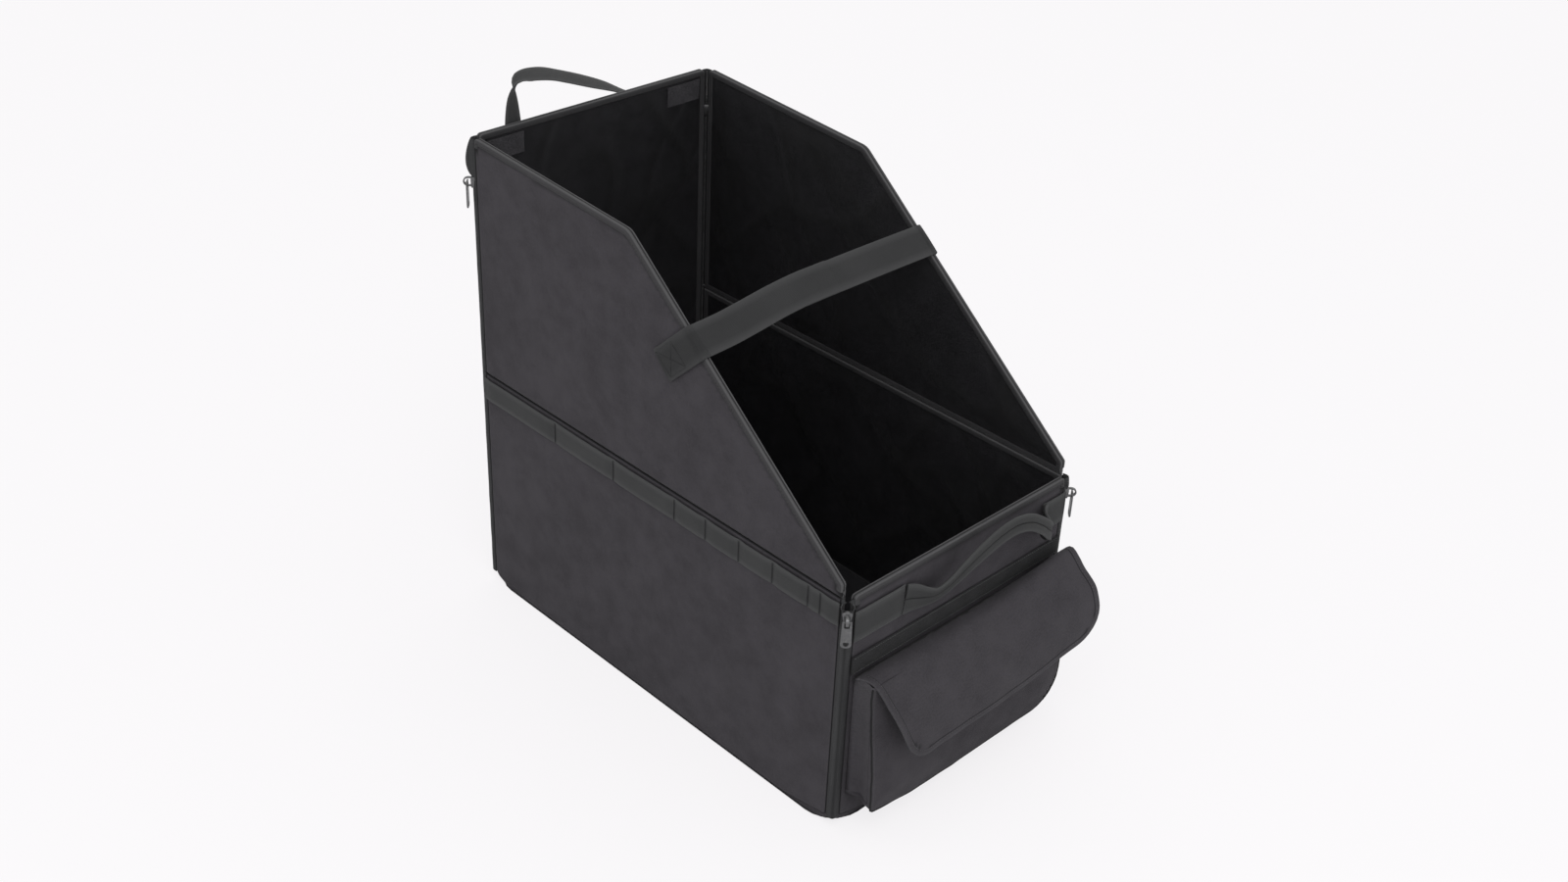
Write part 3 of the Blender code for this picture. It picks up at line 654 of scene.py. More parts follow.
def smooth_step(value, low, high):
    share = min(max((value - low) / (high - low), 0.0), 1.0)
    return share * share * (3 - 2 * share)


# %% [markdown]
# `cloth_on` stands such a sheet up on its wall. The depth of each point is a function of its
# place and of its distance to the edge: near the edge the cloth rolls over a board of a
# few millimetres, and further in it has the slack that the photograph shows. The last ring
# is turned in over the board's edge by an extrusion.

# %% Stand a sheet up
def roll(distance, radius):
    """How much deeper cloth lies at this distance from an edge that it rolls over."""
    if distance >= radius:
        return 0.0
    return radius - math.sqrt(max(radius**2 - (radius - distance) ** 2, 0.0))


def inset_corners(corners, inward):
    """The same corners with the outline moved inward, each keeping some rounding."""
    moved = []
    for i, (x, y, rounding) in enumerate(corners):
        before, here = Vector(corners[i - 1][:2]), Vector((x, y))
        after = Vector(corners[(i + 1) % len(corners)][:2])
        into, away = (here - before).normalized(), (after - here).normalized()
        side_in, side_out = Vector((into.y, -into.x)), Vector((away.y, -away.x))
        here = here - (side_in + side_out) * inward / (1 + side_in.dot(side_out))
        moved.append((here.x, here.y, max(rounding - inward, 0.0) if rounding else 0))
    return moved


def cloth_on(wall, inset, cell, depth_of, turned, inside_out, top_run=None, shade_of=None):
    """A sheet on a wall, rolled at its edges and turned in to a depth."""
    shape, spans = cut_sheet(inset_corners(wall.corners, inset), cell)
    flange = np.full(len(spans), 9.0)
    if top_run:
        top = [tuple(point) for point in edge_line(wall.corners, *top_run)]
        flange = distances([vertex.co.xy for vertex in shape.verts], top, closed=False)
    layer = shape.loops.layers.uv.new("threads")
    rubbed = shape.verts.layers.float.new("rubbed")
    crease = shape.verts.layers.float.new("crease")
    shape.verts.ensure_lookup_table()
    flat = {}
    for vertex, span, under in zip(shape.verts, spans, flange):
        flat[vertex] = (vertex.co.x, vertex.co.y)
        vertex[rubbed] = 0.8 * (1 - smooth_step(abs(span - 0.0014), 0.0, 0.0012))
        # Painted shade: the cloth is painted nearly black within two millimetres of its edge and under a
        # top binding up to the edge of its flange.
        vertex[crease] = max(1 - smooth_step(span, 0.0, 0.0018), smooth_step(-under, -0.0086, -0.0072))
        a, b = flat[vertex]
        # The shade_of function adds painted shade to the crease mark and a painted highlight to the
        # rubbed mark.
        if shade_of:
            dark, light = shade_of(a, b)
            vertex[crease], vertex[rubbed] = max(vertex[crease], dark), max(vertex[rubbed], light)
        vertex.co = wall.place(a, b, depth_of(a, b, span))
    rim = [edge for edge in shape.edges if edge.is_boundary]
    made = bmesh.ops.extrude_edge_only(shape, edges=rim)["geom"]
    for vertex in {v for v in made if isinstance(v, bmesh.types.BMVert)}:
        twin = next(e.other_vert(vertex) for e in vertex.link_edges if e.other_vert(vertex) in flat)
        flat[vertex] = flat[twin]
        # Painted shade: the ring turned in over the board is painted nearly black.
        vertex[crease] = 1.0
        vertex.co = wall.place(*flat[twin], turned)
    for face in shape.faces:
        for loop in face.loops:
            loop[layer].uv = flat[loop.vert]
    bmesh.ops.recalc_face_normals(shape, faces=shape.faces)
    shape.faces.ensure_lookup_table()
    middle = max(shape.faces, key=lambda face: face.calc_area())
    facing = wall.outward * (-1 if inside_out else 1)
    if middle.normal.dot(facing) < 0:
        bmesh.ops.reverse_faces(shape, faces=shape.faces)
    return shape


# %% [markdown]
# The outer cloth is stretched over its board and swells a little where nothing holds it down.
# Diagonal tension waves run across it and fade out towards its edges.

# %% The outer cloth of the walls
CELL = 0.0065
CLOTH, LINING = 0.0009, 0.0007


def outer_depth(wall, seed):
    """How deep the outer cloth of a wall lies at a place on it."""

    def depth(a, b, span):
        slack = smooth_step(span, 0.005, 0.050)
        swell = 0.0006 * slack
        wave = 0.0012 * waves(a, b, seed, 11, math.radians(35), 2.5) * slack
        pucker = 0.00035 * waves(a, b, seed + 5, 55, math.radians(80), 3) * slack
        return 0.0008 + roll(span, 0.0014) - swell - wave - pucker

    return depth


def declare(wall):
    """The cut size of a wall's outline."""
    a = [corner[0] for corner in wall.corners]
    b = [corner[1] for corner in wall.corners]
    size = (max(a) - min(a), max(b) - min(b))
    corners = [Vector(corner[:2]) for corner in wall.corners]
    doubled = sum(p.x * q.y - p.y * q.x for p, q in zip(corners, corners[1:] + corners[:1]))
    min(doubled / 2, size[0] * size[1])
    return size


for seed, (name, wall) in enumerate(WALLS.items()):
    run = TOP_RUNS.get(name.rsplit("_", 1)[-1])
    shape = cloth_on(wall, 0.0009, CELL, outer_depth(wall, 3.1 + seed * 7), 0.0040, False, run)
    piece = finished(
        shape, f"{name}_outer_cloth", wall.body, OUTER_CLOTH,
        [f"{name}_fabric"], CLOTH,
    )
    size = declare(wall)
    print(piece.name, [round(length * 1000) for length in size], "mm")

# %% [markdown]
# The lining hangs more loosely than the outer cloth. It was sewn in flat, and the walls fold,
# so it has long creases that cross each other. Its sheet is the same, facing into the box, with
# deeper waves: sharp ones come from folding smooth noise over at zero. Beside each fold the
# lining is painted darker on one side, as painted shade, and paler on the other, as a painted
# highlight.

# %% The linings of the walls
def folds(a, b, seed):
    """How deep in a fold a place on a lining lies, from 0 to 1, for two sets of folds."""
    ridge = 1 - abs(waves(a, b, seed, 11, math.radians(55), 2.2)) * 5
    cross = 1 - abs(waves(a, b, seed + 9, 13, math.radians(-40), 2.6)) * 5
    return max(ridge, 0) ** 1.5, max(cross, 0) ** 1.5


def lining_depth(seed):
    """How deep the lining of a wall lies at a place on it."""

    def depth(a, b, span):
        slack = smooth_step(span, 0.007, 0.030)
        ridge, cross = folds(a, b, seed)
        soft = 0.0008 * (waves(a, b, seed + 3, 14) + 0.5)
        raised = (0.0004 + ridge * 0.0023 + cross * 0.0017 + soft) * slack
        return 0.0063 + raised - 0.0012 * (1 - min(span / 0.002, 1.0))

    return depth


for seed, (name, wall) in enumerate(WALLS.items()):
    seed = 11.3 + seed * 5

    def fold_shade_and_highlight(a, b):
        """Painted shade on one side of each fold, and a painted highlight on the other."""
        ridge, cross = folds(a + 0.004, b - 0.003, seed)
        return 0.9 * max(ridge, cross), 0.7 * max(folds(a - 0.002, b + 0.002, seed))

    shape = cloth_on(wall, 0.0009, CELL, lining_depth(seed), 0.0049, True, None, fold_shade_and_highlight)
    piece = finished(
        shape, f"{name}_inner_lining", wall.body, LINING_CLOTH,
        [f"{name}_lining"], LINING,
    )
    declare(wall)
print("linings:", len(WALLS))

# %% [markdown]
# Long narrow pieces are bent grids. A flat grid has as many rows as the path has points and as
# many columns as the profile, and its points are carried to their places along the path. Where
# a profile closes on itself, its two sides are merged and the ends are filled.

# %% Bend a grid along a path
def bent_grid(rings, closed=True, looped=False, rubbed=(0.0,), painted_shade=(0.0,)):
    """A grid whose rows are rings of points, with its lengths as its UV map."""
    rows = [list(ring) + ([ring[0]] if closed else []) for ring in rings]
    rows = rows + ([rows[0]] if looped else [])
    columns = len(rows[0])
    shape = bmesh.new()
    bmesh.ops.create_grid(shape, x_segments=columns - 1, y_segments=len(rows) - 1, size=1)
    shape.verts.ensure_lookup_table()
    across = lengths_along(max(rows, key=lambda row: lengths_along(row)[-1]))
    along = lengths_along([sum(row, Vector((0, 0, 0))) / columns for row in rows])
    layer = shape.loops.layers.uv.new("threads")
    worn = shape.verts.layers.float.new("rubbed")
    crease = shape.verts.layers.float.new("crease")
    place = {}
    for number, vertex in enumerate(shape.verts):
        row, column = divmod(number, columns)
        place[vertex] = (along[row], across[column])
        vertex[worn] = rubbed[column % len(rubbed)]
        # Painted shade: each column's value says how dark it is painted through the crease mark.
        vertex[crease] = painted_shade[column % len(painted_shade)]
        vertex.co = rows[row][column]
    for face in shape.faces:
        for loop in face.loops:
            loop[layer].uv = place[loop.vert]
    bmesh.ops.remove_doubles(shape, verts=shape.verts, dist=0.000004)
    if closed and not looped:
        bmesh.ops.holes_fill(shape, edges=[e for e in shape.edges if e.is_boundary], sides=0)
    bmesh.ops.recalc_face_normals(shape, faces=shape.faces)
    return shape


# %% [markdown]
# Where two cloths meet at the edge of a board, a folded tape is sewn over both. Along the top
# edges it wraps right round and shows as a narrow paler strip on both faces. On the other edges
# it lies inside the seam: the outer cloth rolls over to it, and only the inside shows its width.

# %% The bindings
def arc(centre, radius, first, last, steps=4):
    """Points on a part of a circle, in degrees."""
    turns = [math.radians(first + (last - first) * step / steps) for step in range(steps + 1)]
    return [(centre[0] + radius * math.cos(t), centre[1] + radius * math.sin(t)) for t in turns]


TOP_PROFILE = (
    [(0.0070, 0.0003), (0.0048, -0.0001)]
    + arc((0.0023, 0.0021), 0.0022, 270, 165)
    + [(0.0009, 0.0038), (0.0024, 0.0043), (0.0010, 0.0049)]
    + arc((0.0023, 0.0057), 0.0020, 190, 90)
    + [(0.0048, 0.0077), (0.0070, 0.0073), (0.0070, 0.0067)]
    + arc((0.0033, 0.0043), 0.0025, 90, 180)
    + arc((0.0033, 0.0033), 0.0025, 180, 270)
    + [(0.0070, 0.0010)]
)
SEAM_PROFILE = (
    [(0.0, 0.0034)]
    + arc((0.0018, 0.0058), 0.0018, 180, 90)
    + [(0.0050, 0.0077), (0.0070, 0.0073), (0.0070, 0.0066)]
    + arc((0.0026, 0.0050), 0.0017, 90, 180)
    + [(0.0009, 0.0034)]
)


def bind(wall, name, profile, first, last, looped=False, seed=0.0):
    """Binding tape of one profile along part of a wall's outline."""
    edge = edge_line(wall.corners, first, last)
    if looped:
        edge = edge[:-1]
    columns = []
    for inward, depth in profile:
        line = edge_line(wall.corners, first, last, inward)
        columns.append([(point, depth, inward) for point in line[: len(edge)]])
    rings = []
    for number, run in enumerate(lengths_along(edge)):
        drift = 0.00022 * noise.noise(Vector((run * 40, seed, 2.0)))
        swell = 0.00015 * noise.noise(Vector((run * 95, seed, 7.0)))
        ring = []
        for column in columns:
            point, depth, inward = column[number]
            out = swell if depth < 0.004 else -swell
            share = smooth_step(inward, 0.003, 0.007)
            ring.append(wall.place(point.x, point.y + drift * share, depth - out))
        rings.append(ring)
    # Painted shade: the groove in the tape's folded edge is painted nearly black.
    groove_shade = [1.0 if 0.0036 < depth < 0.0051 and inward < 0.003 else 0.0
              for inward, depth in profile]
    rub = [0.85 if inward < 0.0012 else 0.0 for inward, depth in profile]
    return bent_grid(rings, looped=looped, rubbed=rub, painted_shade=groove_shade)


SEAM_RUNS = {"front": (7, 4), "rear": (7, 4), "upper": (6, 2)}
for seed, (name, wall) in enumerate(WALLS.items()):
    kind = name.rsplit("_", 1)[-1]
    if kind in TOP_RUNS:
        shape = bind(wall, name, TOP_PROFILE, *TOP_RUNS[kind], seed=seed)
        piece = finished(shape, f"{name}_top_binding", wall.body, BINDING_TAPE,
                         [f"{name}_binding"])
        shape = bind(wall, name, SEAM_PROFILE, *SEAM_RUNS[kind], seed=seed + 20)
    else:
        shape = bind(wall, name, SEAM_PROFILE, 0, 0, looped=True, seed=seed + 20)
    piece = finished(shape, f"{name}_seam_binding", wall.body, BINDING_TAPE,
                     [f"{name}_binding"])
    print(piece.name, len(piece.data.polygons), "faces")

# %% [markdown]
# The base is a padded board between the same two cloths. Its lining is the floor of the box, the
# most crumpled cloth on the cover, and its outer cloth has well rounded corners.

# %% The base
BASE_X, BASE_Y, BASE_CORNER = 0.1747, 0.2997, 0.040
FLOOR_X, FLOOR_Y = 0.1668, 0.2918


def rounded_box(half_a, half_b, rounding):
    places = ((-half_a, -half_b), (half_a, -half_b), (half_a, half_b), (-half_a, half_b))
    return [(*place, rounding) for place in places]


base_wall = Wall(
    "base", "base", (1, 0, 0), (0, 1, 0), (0, 0, -1), 0.0,
    rounded_box(BASE_X, BASE_Y, BASE_CORNER),
)
floor_wall = Wall(
    "base", "base", (1, 0, 0), (0, 1, 0), (0, 0, -1), 0.0,
    rounded_box(FLOOR_X, FLOOR_Y, 0.004),
)


def base_depth(a, b, span):
    return 0.0001 + roll(span, 0.0008)


def floor_depth(a, b, span):
    slack = smooth_step(span, 0.004, 0.040)
    ridge = 1 - abs(waves(a, b, 41.0, 9, math.radians(25), 2.0)) * 5
    cross = 1 - abs(waves(a, b, 47.0, 10, math.radians(-60), 2.4)) * 5
    crease = max(ridge, 0) ** 1.5 * 0.0022 + max(cross, 0) ** 1.5 * 0.0018
    return 0.0064 + (0.0006 + crease) * slack


shape = cloth_on(base_wall, 0.0, 0.010, base_depth, 0.0011, False)
piece = finished(shape, "base_outer_cloth", "base", OUTER_CLOTH, ["base_fabric"])
declare(base_wall)
shape = cloth_on(floor_wall, 0.0, CELL, floor_depth, 0.0058, True)
piece = finished(shape, "base_inner_lining", "base", LINING_CLOTH,
                 ["base_lining"], LINING)
declare(floor_wall)
print("base:", round(BASE_X * 2000), "by", round(BASE_Y * 2000), "mm")

# %% [markdown]
# The walls are sewn to the base by their outer cloth, which rounds the lower edge. Towards the
# corners the walls' edges rise, and this cloth closes the rounded corner. It has to follow the
# base below and the wall above, so each strip is blended across the wall's fold.

# %% The cloth round the lower edges
FOOT_COLUMNS = 6


def facing(shape, direction):
    """Turns an open sheet over if it looks away from a direction."""
    looks = sum((face.normal * face.calc_area() for face in shape.faces), Vector((0, 0, 0)))
    if looks.dot(direction) < 0:
        bmesh.ops.reverse_faces(shape, faces=shape.faces)
    return shape


def foot_strip(wall, half, base_half, base_face):
    """From the base's rounded outline up to the wall's lower edge."""
    line = [(point.x, point.y + 0.0008, 0.0017) for point in edge_line(wall.corners, 0, 3)]
    end = (half + 0.0045, FOOT_Z + FOOT_LIFT + 0.0008, 0.0060)
    line = [(-end[0], *end[1:])] + line + [end]
    straight = base_half - BASE_CORNER
    rings = []
    for a, b, depth in line:
        past = max(abs(a) - straight, 0) / (half + 0.0045 - straight)
        turn = math.radians(45) * min(past, 1)
        sign = math.copysign(1, a)
        base_a = sign * (straight + BASE_CORNER * math.sin(turn)) if past else a
        base_depth_here = wall.face - base_face + 0.0015 + BASE_CORNER * (1 - math.cos(turn))
        ring = []
        for column in range(FOOT_COLUMNS + 1):
            bend = math.radians(90) * column / FOOT_COLUMNS
            up, out = 1 - math.cos(bend), math.sin(bend)
            ring.append(wall.place(
                base_a + (a - base_a) * up,
                0.0010 + (b - 0.0010) * up,
                base_depth_here + (depth - base_depth_here) * out,
            ))
        rings.append(ring)
    return rings


foot_ends = {}
for name in ("front", "rear", "side_left_lower", "side_right_lower"):
    wall = WALLS[name]
    at_end = name in ("front", "rear")
    half, base_half, face = (END_X, BASE_X, BASE_Y) if at_end else (END_Y, BASE_Y, BASE_X)
    rings = foot_strip(wall, half, base_half, face)
    foot_ends[name] = (rings[0], rings[-1])
    shape = facing(bent_grid(rings, closed=False), wall.outward)
    piece = finished(shape, f"{name}_foot_cloth", None, OUTER_CLOTH,
                     ["base_fabric"], CLOTH)
    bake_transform(piece)
for end in ("front", "rear"):
    for side in ("left", "right"):
        first, second = min(
            ((p, q) for p in foot_ends[end] for q in foot_ends[f"side_{side}_lower"]),
            key=lambda pair: (pair[0][0] - pair[1][0]).length,
        )
        inward = Vector((1 if side == "left" else -1, 1 if end == "front" else -1, 0)) * 0.0006
        rows = []
        for share in (-0.8, 0.0, 0.5, 1.0, 1.8):
            row = [p.lerp(q, share) + inward for p, q in zip(first, second)]
            rows.append(row + [row[-1] + inward * 1.5 + Vector((0, 0, 0.022))])
        shape = facing(bent_grid(rows, closed=False), -inward)
        finished(shape, f"base_{end}_{side}_corner_cloth", "base", OUTER_CLOTH)
print("foot cloths:", 4, "and corners:", 4)

# %% [markdown]
# The side walls fold in half along a line just above the webbing. The cloth there dips between
# the two boards, outside and inside, and is blended from the lower to the upper panel. The
# outside strip is painted nearly black all over, as painted shade in the gap of the fold.

# %% The cloth in the side folds
def fold_strip(wall, low, high, depth, dip, inside):
    """A strip of cloth along a fold line, dipping in its middle."""
    rings = []
    for step in range(61):
        a = -END_Y + 2 * END_Y * step / 60
        ring = []
        for column in range(7):
            share = column / 6
            sag = dip * math.sin(math.pi * share) + 0.0003 * waves(a, share * 0.01, 5.0, 60)
            ring.append(wall.place(a, low + (high - low) * share, depth + sag))
        rings.append(ring)
    # Painted shade: the outside strip is painted nearly black all over, for the gap of the fold.
    shape = bent_grid(rings, closed=False, painted_shade=(0.0 if inside else 1.0,))
    return facing(shape, wall.outward * (-1 if inside else 1))


for side in ("left", "right"):
    lower, upper = f"side_{side}_lower", f"side_{side}_upper"
    for inside, low, high, depth, dip, cloth, slot, layer in (
        (False, 0.2945, 0.3020, 0.0030, 0.0024, OUTER_CLOTH, "outer_cloth", "fabric"),
        (True, 0.2935, 0.3030, 0.0064, -0.0012, LINING_CLOTH, "lining_cloth", "lining"),
    ):
        shape = fold_strip(WALLS[lower], low, high, depth, dip, inside)
        where = "inner" if inside else "outer"
        piece = finished(shape, f"side_{side}_{where}_fold_cloth", None, cloth,
                         [f"{lower}_{layer}"], 0.0006)
        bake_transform(piece)
print("fold cloths: 2 on each side")

# %% [markdown]
# Webbing is a ribbon: a path, the direction across it and the direction it faces. Its profile
# has the rounded selvedges of a woven band, and width and thickness may change along it.

# %% A ribbon of webbing
RIBBON_HALF = [(-0.5, 0.0), (-0.488, 0.30), (-0.465, 0.46), (-0.25, 0.5), (0.0, 0.5)]
RIBBON_UPPER = RIBBON_HALF + [(-s, t) for s, t in RIBBON_HALF[-2::-1]]
RIBBON = RIBBON_UPPER + [(s, -t) for s, t in RIBBON_UPPER[-2:0:-1]]
RIBBON_RUB = [1.0 if abs(s) > 0.46 else 0.0 for s, t in RIBBON]


def ribbon(path, across, out, width, thickness, cup=0.0, shade=0.0):
    """A band along a path. Across, out, width and thickness are one value or one a point."""
    rings = []
    for number, point in enumerate(path):
        values = []
        for value in (across, out, width, thickness, cup):
            values.append(value[number] if isinstance(value, list) else value)
        side, face, broad, thick, bow = values
        side, face = Vector(side), Vector(face)
        ring = []
        for s, t in RIBBON:
            lift = bow * (1 - 4 * s * s)
            ring.append(point + side * (s * broad) + face * (t * thick + lift))
        rings.append(ring)
    return bent_grid(rings, rubbed=RIBBON_RUB, painted_shade=(shade,))


# %% [markdown]
# A band of webbing runs along each side just below the fold. It is tacked down every few
# centimetres, so gear can be hooked into the loops between: the band swells a little between
# two tacks and is pressed flat at each. The front wall has a wider band, whose middle is free
# and makes the handle, and below it a strip of fastening pile for the pocket's flap.

# %% The bands on the walls
STRIP_LOW, STRIP_HIGH = 0.265, 0.293
TACKS = (-0.264, -0.247, -0.196, -0.146, -0.095, -0.046, 0.055, 0.157)
BAND_LOW, BAND_HIGH = 0.245, 0.283
HANDLE_LEFT, HANDLE_RIGHT = -0.093, 0.128
PILE_LOW, PILE_HIGH = 0.204, 0.226


def band(wall, start, end, low, high, tacks, swell, thickness, seed, spacing=0.004):
    """A flat band along a wall, pressed down at its tacks."""
    count = math.ceil((end - start) / spacing)
    path, bows = [], []
    for step in range(count + 1):
        a = start + (end - start) * step / count
        nearest = min([abs(a - tack) for tack in tacks] + [a - start, end - a])
        free = smooth_step(nearest, 0.001, 0.012)
        drift = 0.0004 * waves(a, 0.0, seed, 12)
        out = 0.0003 + thickness / 2 + (swell + 0.0003 * waves(a, 0.0, seed + 4, 25)) * free
        path.append(wall.place(a, (low + high) / 2 + drift, -out))
        bows.append(swell * 0.6 * free)
    return ribbon(path, wall.up, wall.outward, high - low, thickness, bows)


for side in ("left", "right"):
    wall = WALLS[f"side_{side}_lower"]
    seed = 31.0 if side == "left" else 37.0
    shape = band(wall, -END_Y, END_Y, STRIP_LOW, STRIP_HIGH, TACKS, 0.0009, 0.0015, seed)
    piece = finished(shape, f"side_{side}_webbing_band", wall.body, WEBBING,
                     [f"side_{side}_webbing"])
front = WALLS["front"]
for side, start, end in (("left", -END_X, HANDLE_LEFT), ("right", HANDLE_RIGHT, END_X)):
    shape = band(front, start, end, BAND_LOW, BAND_HIGH, (), 0.0006, 0.0015, 43.0)
    piece = finished(shape, f"front_band_webbing_{side}", front.body, WEBBING,
                     [f"front_band_{side}"])
shape = band(front, -END_X, END_X, PILE_LOW, PILE_HIGH, (), 0.0004, 0.0016, 53.0)
piece = finished(shape, "front_pile_strip", front.body, FASTENER_PILE,
                 ["front_fastener_strip"])
rear = WALLS["rear"]
for side, sign in (("left", -1), ("right", 1)):
    low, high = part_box(f"rear_patch_{side}")
    middle = (low + high) / 2 if isinstance(low, Vector) else Vector(low).lerp(Vector(high), 0.5)
    path = [Vector((middle.x, middle.y, z)) for z in np.linspace(0.556, 0.580, 9)]
    shape = ribbon(path, (1, 0, 0), (0, -1, 0), 0.050, 0.0018, 0.0003)
    piece = finished(shape, f"rear_pile_patch_{side}", rear.body, FASTENER_PATCH,
                     [f"rear_patch_{side}"])
print("bands and pile strips:", 7)

# %% [markdown]
# A tape handle is a path in space through a few given points. A Catmull-Rom curve runs
# smoothly through them, and its points are then set at even distances.

# %% Smooth paths
def smooth_path(points, spacing):
    """Even points on a smooth curve through rows of numbers. The first three are a place."""
    rows = [np.array(row, dtype=float) for row in points]
    rows = [2 * rows[0] - rows[1]] + rows + [2 * rows[-1] - rows[-2]]
    fine = []
    for p, q, r, s in zip(rows, rows[1:], rows[2:], rows[3:]):
        for t in np.linspace(0, 1, 24, endpoint=False):
            fine.append(0.5 * (2 * q + (r - p) * t + (2 * p - 5 * q + 4 * r - s) * t**2
                               + (3 * q - p - 3 * r + s) * t**3))
    fine = np.array(fine + [rows[-2]])
    run = np.concatenate([[0], np.cumsum(np.linalg.norm(np.diff(fine[:, :3], axis=0), axis=1))])
    even = np.linspace(0, run[-1], max(2, round(run[-1] / spacing)) + 1)
    columns = [np.interp(even, run, fine[:, i]) for i in range(fine.shape[1])]
    return np.stack(columns, axis=1)


def tangents(places):
    steps = np.gradient(np.array(places), axis=0)
    return [Vector(step).normalized() for step in steps]


# %% [markdown]
# The front handle is the free middle of the wide band. Its two selvedges are folded to the
# middle, where they meet in a groove, and it bulges out and up between its two seams. The
# rear handle is a flat band that leaves its left foot upright, twists, and runs over to its
# right foot behind the wall.

# %% The handles
GROOVED_UPPER = [
    (-0.5, 0.0), (-0.492, 0.30), (-0.46, 0.48), (-0.28, 0.53), (-0.09, 0.50), (-0.03, 0.34),
    (0.0, 0.05), (0.03, 0.30), (0.09, 0.46), (0.28, 0.53), (0.46, 0.48), (0.492, 0.30), (0.5, 0.0),
]
GROOVED = GROOVED_UPPER + [(s, -0.5) for s in (0.46, 0.25, 0.0, -0.25, -0.46)]
FRONT_HANDLE_PATH = [
    (-0.0925, 0.0012, 0.2640, 0.0372, 0), (-0.0830, 0.0035, 0.2625, 0.0350, 2),
    (-0.0700, 0.0070, 0.2590, 0.0290, 10), (-0.0550, 0.0110, 0.2575, 0.0225, 16),
    (-0.0380, 0.0150, 0.2650, 0.0195, 12), (-0.0180, 0.0190, 0.2790, 0.0190, 4),
    (0.0040, 0.0230, 0.2930, 0.0190, -4), (0.0250, 0.0255, 0.3020, 0.0190, -10),
    (0.0470, 0.0270, 0.3050, 0.0190, -14), (0.0700, 0.0280, 0.2995, 0.0190, -16),
    (0.0910, 0.0285, 0.2860, 0.0190, -12), (0.1060, 0.0275, 0.2725, 0.0195, -5),
    (0.1130, 0.0238, 0.2675, 0.0215, 0), (0.1160, 0.0180, 0.2660, 0.0285, 0),
    (0.1200, 0.0105, 0.2645, 0.0345, 0), (0.1262, 0.0040, 0.2640, 0.0372, 0),
    (0.1335, 0.0012, 0.2640, 0.0372, 0),
]
HANDLE_THICK = 0.0034


HANDLE_JOIN = 0.045


def front_handle(side):
    """Half of the handle, from its join to one seam."""
    rows = smooth_path([(x, -0.3005 - out, *rest) for x, out, *rest in FRONT_HANDLE_PATH], 0.003)
    rings = []
    for row, along in zip(rows, tangents(rows[:, :3])):
        lean = math.radians(row[4])
        across = Vector((0, -math.sin(lean), math.cos(lean)))
        across = (across - along * across.dot(along)).normalized()
        out = along.cross(across).normalized()
        ring = [Vector(row[:3]) + across * (s * row[3]) + out * (t * HANDLE_THICK)
                for s, t in GROOVED]
        rings.append(ring)
    join = min(range(len(rows)), key=lambda k: abs(rows[k][0] - HANDLE_JOIN))
    rub = [1.0 if abs(s) > 0.45 else 0.0 for s, t in GROOVED]
    # Painted shade: the groove along the top and the underside facing the wall are painted darker.
    groove_shade = [1.0 if abs(s) < 0.01 and t > 0 else 0.75 if t < -0.4 else 0.0 for s, t in GROOVED]
    half = rings[: join + 1] if side == "left" else rings[join:]
    return bent_grid(half, rubbed=rub, painted_shade=groove_shade)


for side, sewn_x, free_x in (("left", -0.0925, 0.020), ("right", 0.1335, 0.075)):
    piece = finished(front_handle(side), f"front_handle_webbing_{side}", None, WEBBING,
                     ["front_handle"])
    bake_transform(piece)
REAR_HANDLE_PATH = [
    (-0.1100, 0.3026, 0.5410, 0.0, 0), (-0.1106, 0.3030, 0.5620, 0.02, 0),
    (-0.1110, 0.3042, 0.5850, 0.10, 0), (-0.1096, 0.3060, 0.6050, 0.24, 3),
    (-0.1054, 0.3090, 0.6172, 0.38, 6), (-0.0993, 0.3120, 0.6262, 0.53, 8),
    (-0.0925, 0.3135, 0.6308, 0.66, 9), (-0.0850, 0.3140, 0.6322, 0.78, 11),
    (-0.0740, 0.3140, 0.6318, 0.88, 15), (-0.0549, 0.3140, 0.6280, 0.97, 20),
    (-0.0330, 0.3140, 0.6200, 1.0, 22), (0.0, 0.3140, 0.6068, 1.0, 22),
    (0.0350, 0.3140, 0.5920, 1.0, 14), (0.0650, 0.3135, 0.5765, 1.0, 4),
    (0.0900, 0.3125, 0.5670, 1.15, 0), (0.1060, 0.3080, 0.5610, 1.7, 0),
    (0.1105, 0.3042, 0.5520, 2.0, 0), (0.1100, 0.3026, 0.5410, 2.0, 0),
]
REAR_HANDLE_WIDTH, REAR_HANDLE_THICK = 0.025, 0.0018


def rear_handle():
    """Across turns from +X at the left foot, through +Y along the top, to -X at the right."""
    rows = smooth_path(REAR_HANDLE_PATH, 0.004)
    path, sides, faces = [], [], []
    for row, along in zip(rows, tangents(rows[:, :3])):
        turn, tilt = math.radians(90) * row[3], math.radians(row[4])
        across = Vector((math.cos(turn), math.sin(turn), math.tan(tilt)))
        across = (across - along * across.dot(along)).normalized()
        path.append(Vector(row[:3]))
        sides.append(across)
        faces.append(along.cross(across).normalized())
    return ribbon(path, sides, faces, REAR_HANDLE_WIDTH, REAR_HANDLE_THICK, 0.0004)


piece = finished(rear_handle(), "rear_handle_webbing", "rear_handle", WEBBING,
                 ["rear_handle"])
for side, sign in (("left", -1), ("right", 1)):
    path = [Vector((sign * 0.110, 0.3003, z)) for z in np.linspace(0.494, 0.5405, 14)]
    shape = ribbon(path, (1, 0, 0), (0, 1, 0), REAR_HANDLE_WIDTH, 0.0018, 0.0002)
    piece = finished(shape, f"rear_handle_foot_webbing_{side}", rear.body, WEBBING,
                     [f"rear_handle_foot_{side}"])
print("handles: front and rear")

